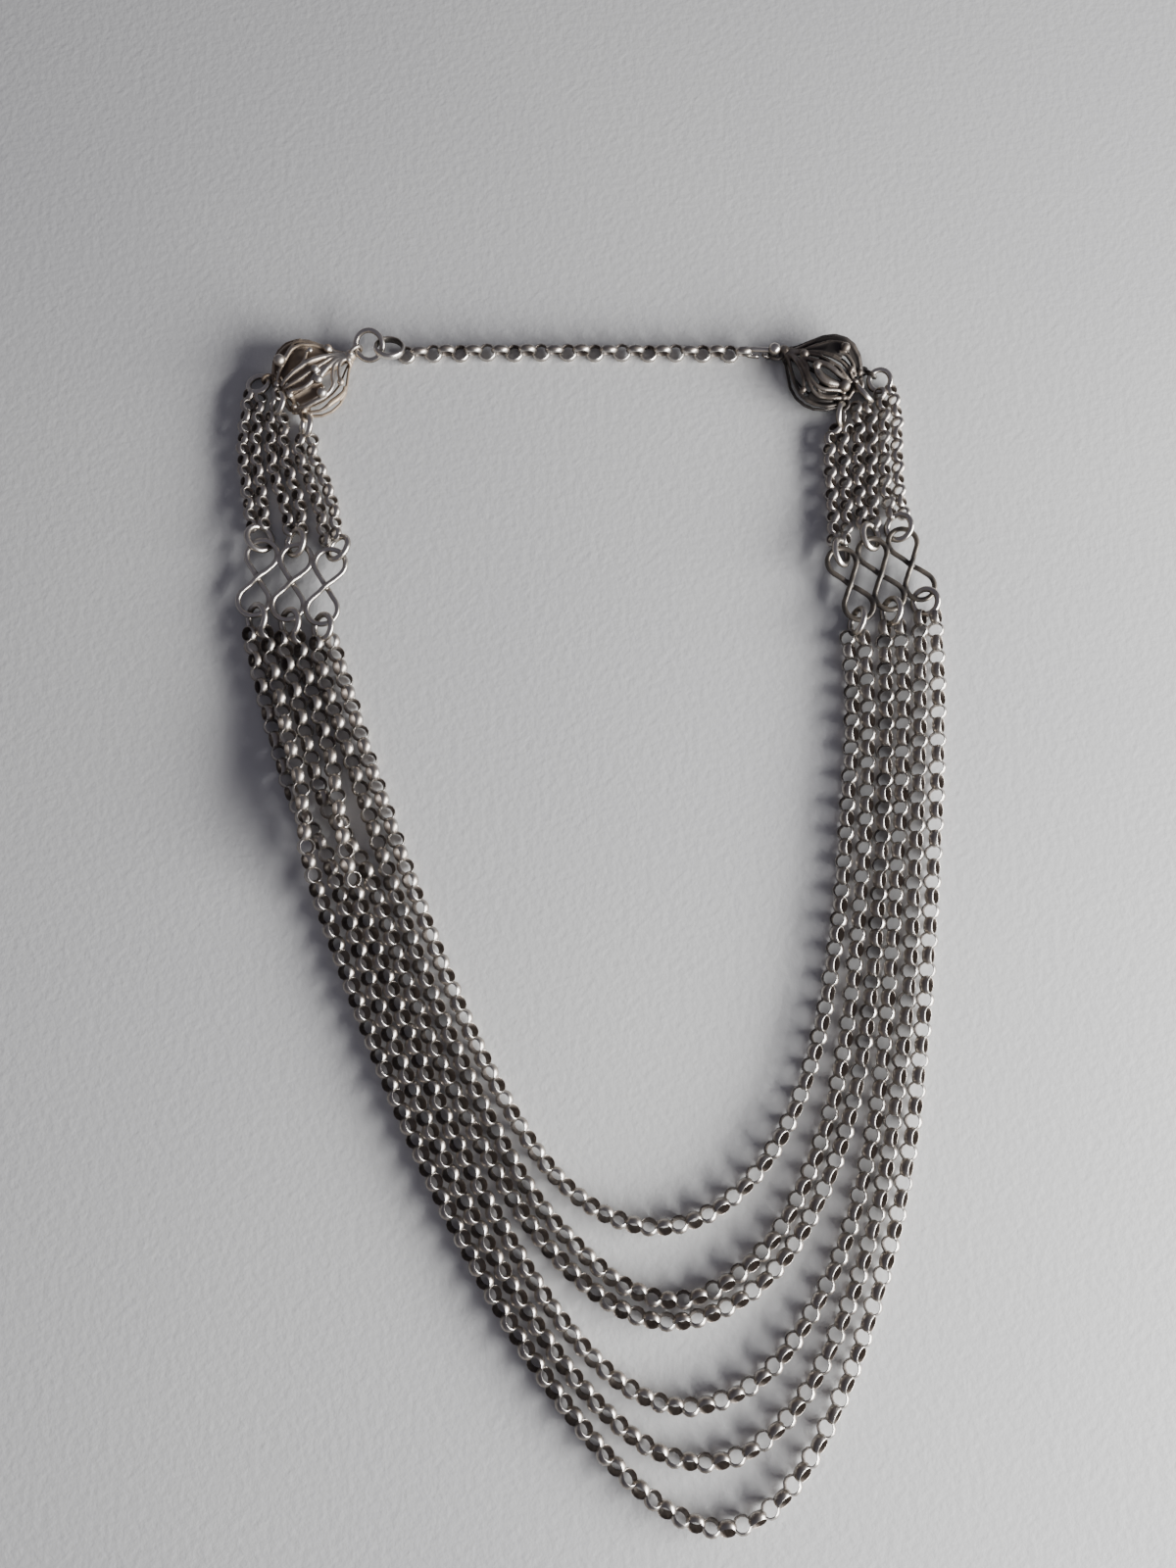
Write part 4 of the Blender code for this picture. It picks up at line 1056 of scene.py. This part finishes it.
def bud_point(side, along, angle, lift=0.0):
    """A point on the dome of a bud, which bulges out below its widest line as well."""
    for (x0, w0, h0), (x1, w1, h1) in zip(BUD_SECTIONS, BUD_SECTIONS[1:]):
        if along <= x1:
            break
    share = min((along - x0) / (x1 - x0), 1.0)
    width = (w0 + (w1 - w0) * share) * (BUD_HALF_WIDTH - BUD_RIB / 2) + lift
    height = h0 + (h1 - h0) * share
    turn = math.radians(angle)
    belly = height * 2.0 * mm * (1 + 0.35 * BUDS[side]["far"] * math.sin(turn))
    top = height * BUD_RISE + lift
    if math.cos(turn) >= 0:
        level = BUD_RIB / 2 + belly + (top - belly) * math.cos(turn)
    else:
        level = BUD_RIB / 2 + belly * (1 + math.cos(turn))
    return Vector((along * BUD_LENGTH, width * math.sin(turn), level))


def bud_leaf(bm, side, near, far, deep, thick):
    """A thin cast leaf between two edges on the dome, hollowed towards its middle."""
    rows = []
    for marks in (near, far):
        line = smooth_route([Vector((100 * a, g, 0)) for a, g in marks], 3.0)
        rows.append([Vector((spot.x / 100, spot.y, 0)) for spot in line])
    count = min(len(rows[0]), len(rows[1]))
    picks = [[row[round(i * (len(row) - 1) / (count - 1))] for i in range(count)] for row in rows]
    sheet = bmesh.new()
    grid = []
    for i in range(count):
        line = []
        for j in range(9):
            spot = picks[0][i].lerp(picks[1][i], j / 8)
            hollow = deep * math.sin(math.pi * j / 8) ** 0.6
            line.append(sheet.verts.new(bud_point(side, spot.x, spot.y, -hollow)))
        grid.append(line)
    for one, two in zip(grid, grid[1:]):
        for j in range(8):
            sheet.faces.new((one[j], one[j + 1], two[j + 1], two[j]))
    bmesh.ops.recalc_face_normals(sheet, faces=sheet.faces)
    bmesh.ops.solidify(sheet, geom=sheet.faces[:], thickness=thick)
    mesh = finish_mesh("leaf", sheet)
    bm.from_mesh(mesh)
    bpy.data.meshes.remove(mesh)


def bud_routes(side, ribs):
    """Routes of a bud's wires: its ribs, the lengthwise lines of its shell and its collars."""
    routes = []
    for marks in ribs:
        line = smooth_route([Vector((100 * a, g, 40 * t)) for a, g, t in marks], 3.0)
        routes.append(([(bud_point(side, s.x / 100, s.y), s.z / 40 * mm) for s in line], False))
    swell = BUDS[side]["swell"] * mm
    for angle, thick, lift in ((90, 0.70, swell), (-90, 0.70, swell), (140, 0.5, 0.0), (-140, 0.5, 0.0),
                               (180, 0.9, 0.0)):
        line = []
        for step in range(41):
            share = step / 40
            spot = bud_point(side, 0.01 + 0.96 * share, angle, lift * math.sin(math.pi * share))
            line.append((spot, thick * mm))
        routes.append((line, False))
    for along, lift, thick in ((0.10, -0.45, 0.8), (0.015, -0.2, 0.9), (0.93, 0.1, 0.8)):
        loop = [(bud_point(side, along, angle, lift * mm), thick * mm) for angle in range(-180, 180, 12)]
        routes.append((loop, True))
    return routes


def add_ball(bm, spot, radius):
    """Add a small ball of metal."""
    place = Matrix.Translation(spot)
    bmesh.ops.create_uvsphere(bm, u_segments=20, v_segments=12, radius=radius, matrix=place)


def add_bud_eyes(bm, side):
    """Add the eye at a bud's tip, and the eyelets at its base with their roots."""
    tip = wire_ring_template(TIP_EYE, TIP_EYE_WIRE, 32, 12)
    tip.transform(ring_frame(tip_place(side), 0, BUDS[side]["tip"][2]))
    bm.from_mesh(tip)
    for eye, turn, roll in bud_eyelets(side):
        local_turn = turn - BUDS[side]["turn"]
        eyelet = wire_ring_template(EYELET, EYELET_WIRE, 28, 12)
        eyelet.transform(ring_frame(eye, local_turn, roll + 90))
        bm.from_mesh(eyelet)
        root = eye - heading(local_turn) * EYELET_ROOT_BACK
        add_ball(bm, Vector((root.x, root.y, 0.7 * eye.z)), EYELET_ROOT)


def bud_polish(side):
    """Polish of a bud: bright on what stands proud of its dome and dark inside it, brighter on faces turned
    out and up as wear and painted light, and painted shade along its widest edges.
    """
    def rule(spot, normal):
        along = clamp(spot.x / BUD_LENGTH)
        ridge = bud_point(side, along, 0)
        edge = bud_point(side, along, 90 if spot.y > 0 else -90)
        across = min(1.0, abs(spot.y) / max(abs(edge.y), 0.5 * mm))
        shell = edge.z + (ridge.z - edge.z) * math.sqrt(max(0.0, 1 - across ** 2))
        proud = (spot.z - shell) / (0.5 * mm)
        # Faces turned out and up are brighter: wear and painted light
        out = Vector((0.25 * (spot.x - 0.42 * BUD_LENGTH), spot.y, max(0.4 * mm, spot.z) * 1.6)).normalized()
        # Painted shade along the bud's widest, lowest line
        edge_shade = 0.35 * max(0.0, across - 0.78) / 0.22
        return BUDS[side]["wear"] - edge_shade + 0.25 * max(0.0, normal.dot(out)) + 0.45 * clamp(proud, -1.0)

    return rule


class NECKLACE_OT_buds(bpy.types.Operator):
    """Add the two openwork bud ornaments"""
    bl_idname = "necklace.buds"
    bl_label = "Bud ornaments"
    bl_options = {"REGISTER", "UNDO"}

    def execute(self, context):
        finish = context.scene.necklace_finish
        details = {"left": (LEFT_RIBS, LEFT_LEAVES + LEFT_SHADE_SHEETS, LEFT_GRANULES),
                   "right": (RIGHT_RIBS, RIGHT_LEAVES + RIGHT_SHADE_SHEETS, RIGHT_GRANULES)}
        for side, (ribs, leaves, granules) in details.items():
            bm = bmesh.new()
            bm.from_mesh(wire_mesh("ribs", bud_routes(side, ribs), 12))
            # The sheets among these leaves are painted shade behind the openwork
            for near, far, deep in leaves:
                bud_leaf(bm, side, near, far, deep * mm, LEAF_WALL)
            for along, angle, radius, rise in granules:
                add_ball(bm, bud_point(side, along, angle, rise * mm), radius * mm)
            add_ball(bm, Vector((0.99 * BUD_LENGTH, 0, 1.45 * mm)), BUD_TIP_BEAD)
            add_bud_eyes(bm, side)
            mesh = melt("bud", bm, finish.bud_detail)
            set_polish(mesh, bud_polish(side))
            mesh.transform(bud_frame(side))
            name = "bud_ornament_" + side
            place_piece(name + "_cast", mesh, metal(BUDS[side]["cast"]), [name])
        return {"FINISHED"}


def catch_outline():
    """Outline of the catch ring's flat band, as radius, height and polish."""
    crown, inner, half = CATCH_RING / 2, CATCH_RING / 2 - CATCH_WALL, CATCH_BAND / 2
    return [
        (inner, -0.85 * half, 0.0), (inner, 0.85 * half, 0.0), (inner + 0.15 * mm, half, 0.4),
        (crown - 0.28 * mm, half, 0.8), (crown - 0.08 * mm, 0.6 * half, 0.95), (crown, 0.0, 1.0),
        (crown - 0.08 * mm, -0.6 * half, 0.95), (crown - 0.28 * mm, -half, 0.8),
        (inner + 0.15 * mm, -half, 0.4),
    ]


def hook_path():
    """Line of the hook's wire: the end that is bent back, the shank, and the eye."""
    end = HOOK_LENGTH / 2

    def bend(middle, angles):
        spots = [heading(angle) * HOOK_BEND for angle in angles]
        return [Vector((middle + spot.x, 0, spot.y)) for spot in spots]

    tail = [Vector((-end + 1.6 * mm, 0, -HOOK_BEND * 1.05)), Vector((-end + 0.8 * mm, 0, -HOOK_BEND * 1.03))]
    shank = [Vector((share * end, 0, HOOK_BEND)) for share in (-0.6, -0.2, 0.2, 0.6)]
    return tail + bend(-end, range(270, 89, -15)) + shank + bend(end, range(90, -151, -15))


class NECKLACE_OT_fastening(bpy.types.Operator):
    """Add the clasp ring, the catch ring and the hook"""
    bl_idname = "necklace.fastening"
    bl_label = "Fastening"
    bl_options = {"REGISTER", "UNDO"}

    def execute(self, context):
        swell = context.scene.necklace_chains.wire_swell
        clasp = wire_ring_template(CLASP_RING + swell, CLASP_RING_WIRE + swell, 48, 14)
        clasp.transform(ring_frame(clasp_middle(), *CLASP_TILT))
        # Painted light on the clasp ring's top and painted shade at its sides and below, besides its wear
        set_polish(clasp, lambda spot, normal: worn_and_shaded(normal))
        place_piece("clasp_ring_wire", clasp, metal("wire"), ["clasp_ring"])

        catch = ring_template(catch_outline(), 48, "catch_ring")
        catch.transform(ring_frame(catch_middle(), *CATCH_TILT))
        place_piece("catch_ring_band", catch, metal("wire"), ["catch_ring"])

        bm = bmesh.new()
        bm.from_mesh(wire_mesh("hook", [([(spot, HOOK_WIRE) for spot in hook_path()], False)], 14))
        bead = Matrix.Translation((HOOK_LENGTH / 2 + 0.8 * mm, 0, HOOK_BEND + HOOK_WIRE / 2))
        bmesh.ops.create_uvsphere(bm, u_segments=24, v_segments=14, radius=HOOK_BEAD, matrix=bead)
        hook = finish_mesh("hook", bm)
        # Painted light on the hook's top and painted shade at its sides and below, besides its wear
        set_polish(hook, lambda spot, normal: worn_and_shaded(normal))
        hook.transform(hook_frame())
        place_piece("hook_wire", hook, metal("wire"), ["hook"])
        return {"FINISHED"}


class NECKLACE_OT_stage(bpy.types.Operator):
    """Add the table, the lights and the camera"""
    bl_idname = "necklace.stage"
    bl_label = "Stage"
    bl_options = {"REGISTER", "UNDO"}

    def execute(self, context):
        scene = context.scene
        bm = bmesh.new()
        bmesh.ops.create_grid(bm, x_segments=2, y_segments=2, size=TABLE_SIZE)
        table = bpy.data.objects.new("table", finish_mesh("table", bm))
        table.data.materials.append(table_material())
        scene.collection.objects.link(table)

        lamp = bpy.data.lights.new("window", "AREA")
        lamp.shape = "RECTANGLE"
        lamp.size, lamp.size_y = WINDOW_SIZE
        lamp.energy = WINDOW_ENERGY
        light = bpy.data.objects.new("window", lamp)
        light.location = WINDOW_PLACE
        light.rotation_euler = (-Vector(light.location)).to_track_quat("-Z", "Y").to_euler()
        scene.collection.objects.link(light)

        world = bpy.data.worlds.new("room")
        world.use_nodes = True
        background = world.node_tree.nodes["Background"]
        background.inputs["Color"].default_value = ROOM_COLOUR
        background.inputs["Strength"].default_value = ROOM_STRENGTH
        scene.world = world

        lens = bpy.data.cameras.new("photo_camera")
        lens.sensor_width = CAMERA_SENSOR
        lens.lens = CAMERA_LENS
        camera = bpy.data.objects.new("photo_camera", lens)
        camera.location = Vector(CAMERA_PLACE) + TO_MIDDLE
        camera.rotation_euler = (CAMERA_TILT, 0, 0)
        scene.collection.objects.link(camera)
        scene.camera = camera
        return {"FINISHED"}


class NECKLACE_PT_panel(bpy.types.Panel):
    """The necklace's pieces"""
    bl_label = "Necklace"
    bl_idname = "NECKLACE_PT_panel"
    bl_space_type = "VIEW_3D"
    bl_region_type = "UI"
    bl_category = "Necklace"

    def draw(self, context):
        for group in (context.scene.necklace_chains, context.scene.necklace_finish):
            box = self.layout.box()
            for name in group.__annotations__:
                box.prop(group, name)
        for operator in OPERATORS:
            self.layout.operator(operator.bl_idname)


OPERATORS = (NECKLACE_OT_stage, NECKLACE_OT_strands, NECKLACE_OT_short_chains, NECKLACE_OT_back_chain,
             NECKLACE_OT_jump_rings, NECKLACE_OT_figure_eights, NECKLACE_OT_buds, NECKLACE_OT_fastening)
CLASSES = (NecklaceChainSizes, NecklaceFinish) + OPERATORS + (NECKLACE_PT_panel,)


def register():
    """Register the classes and their settings."""
    for item in CLASSES:
        bpy.utils.register_class(item)
    bpy.types.Scene.necklace_chains = PointerProperty(type=NecklaceChainSizes)
    bpy.types.Scene.necklace_finish = PointerProperty(type=NecklaceFinish)


def unregister():
    """Remove the classes and their settings."""
    del bpy.types.Scene.necklace_finish
    del bpy.types.Scene.necklace_chains
    for item in reversed(CLASSES):
        bpy.utils.unregister_class(item)


def main():
    """Make every piece."""
    register()
    bpy.ops.necklace.stage()
    bpy.ops.necklace.strands()
    bpy.ops.necklace.short_chains()
    bpy.ops.necklace.back_chain()
    bpy.ops.necklace.jump_rings()
    bpy.ops.necklace.figure_eights()
    bpy.ops.necklace.buds()
    bpy.ops.necklace.fastening()


if __name__ == "__main__":
    main()
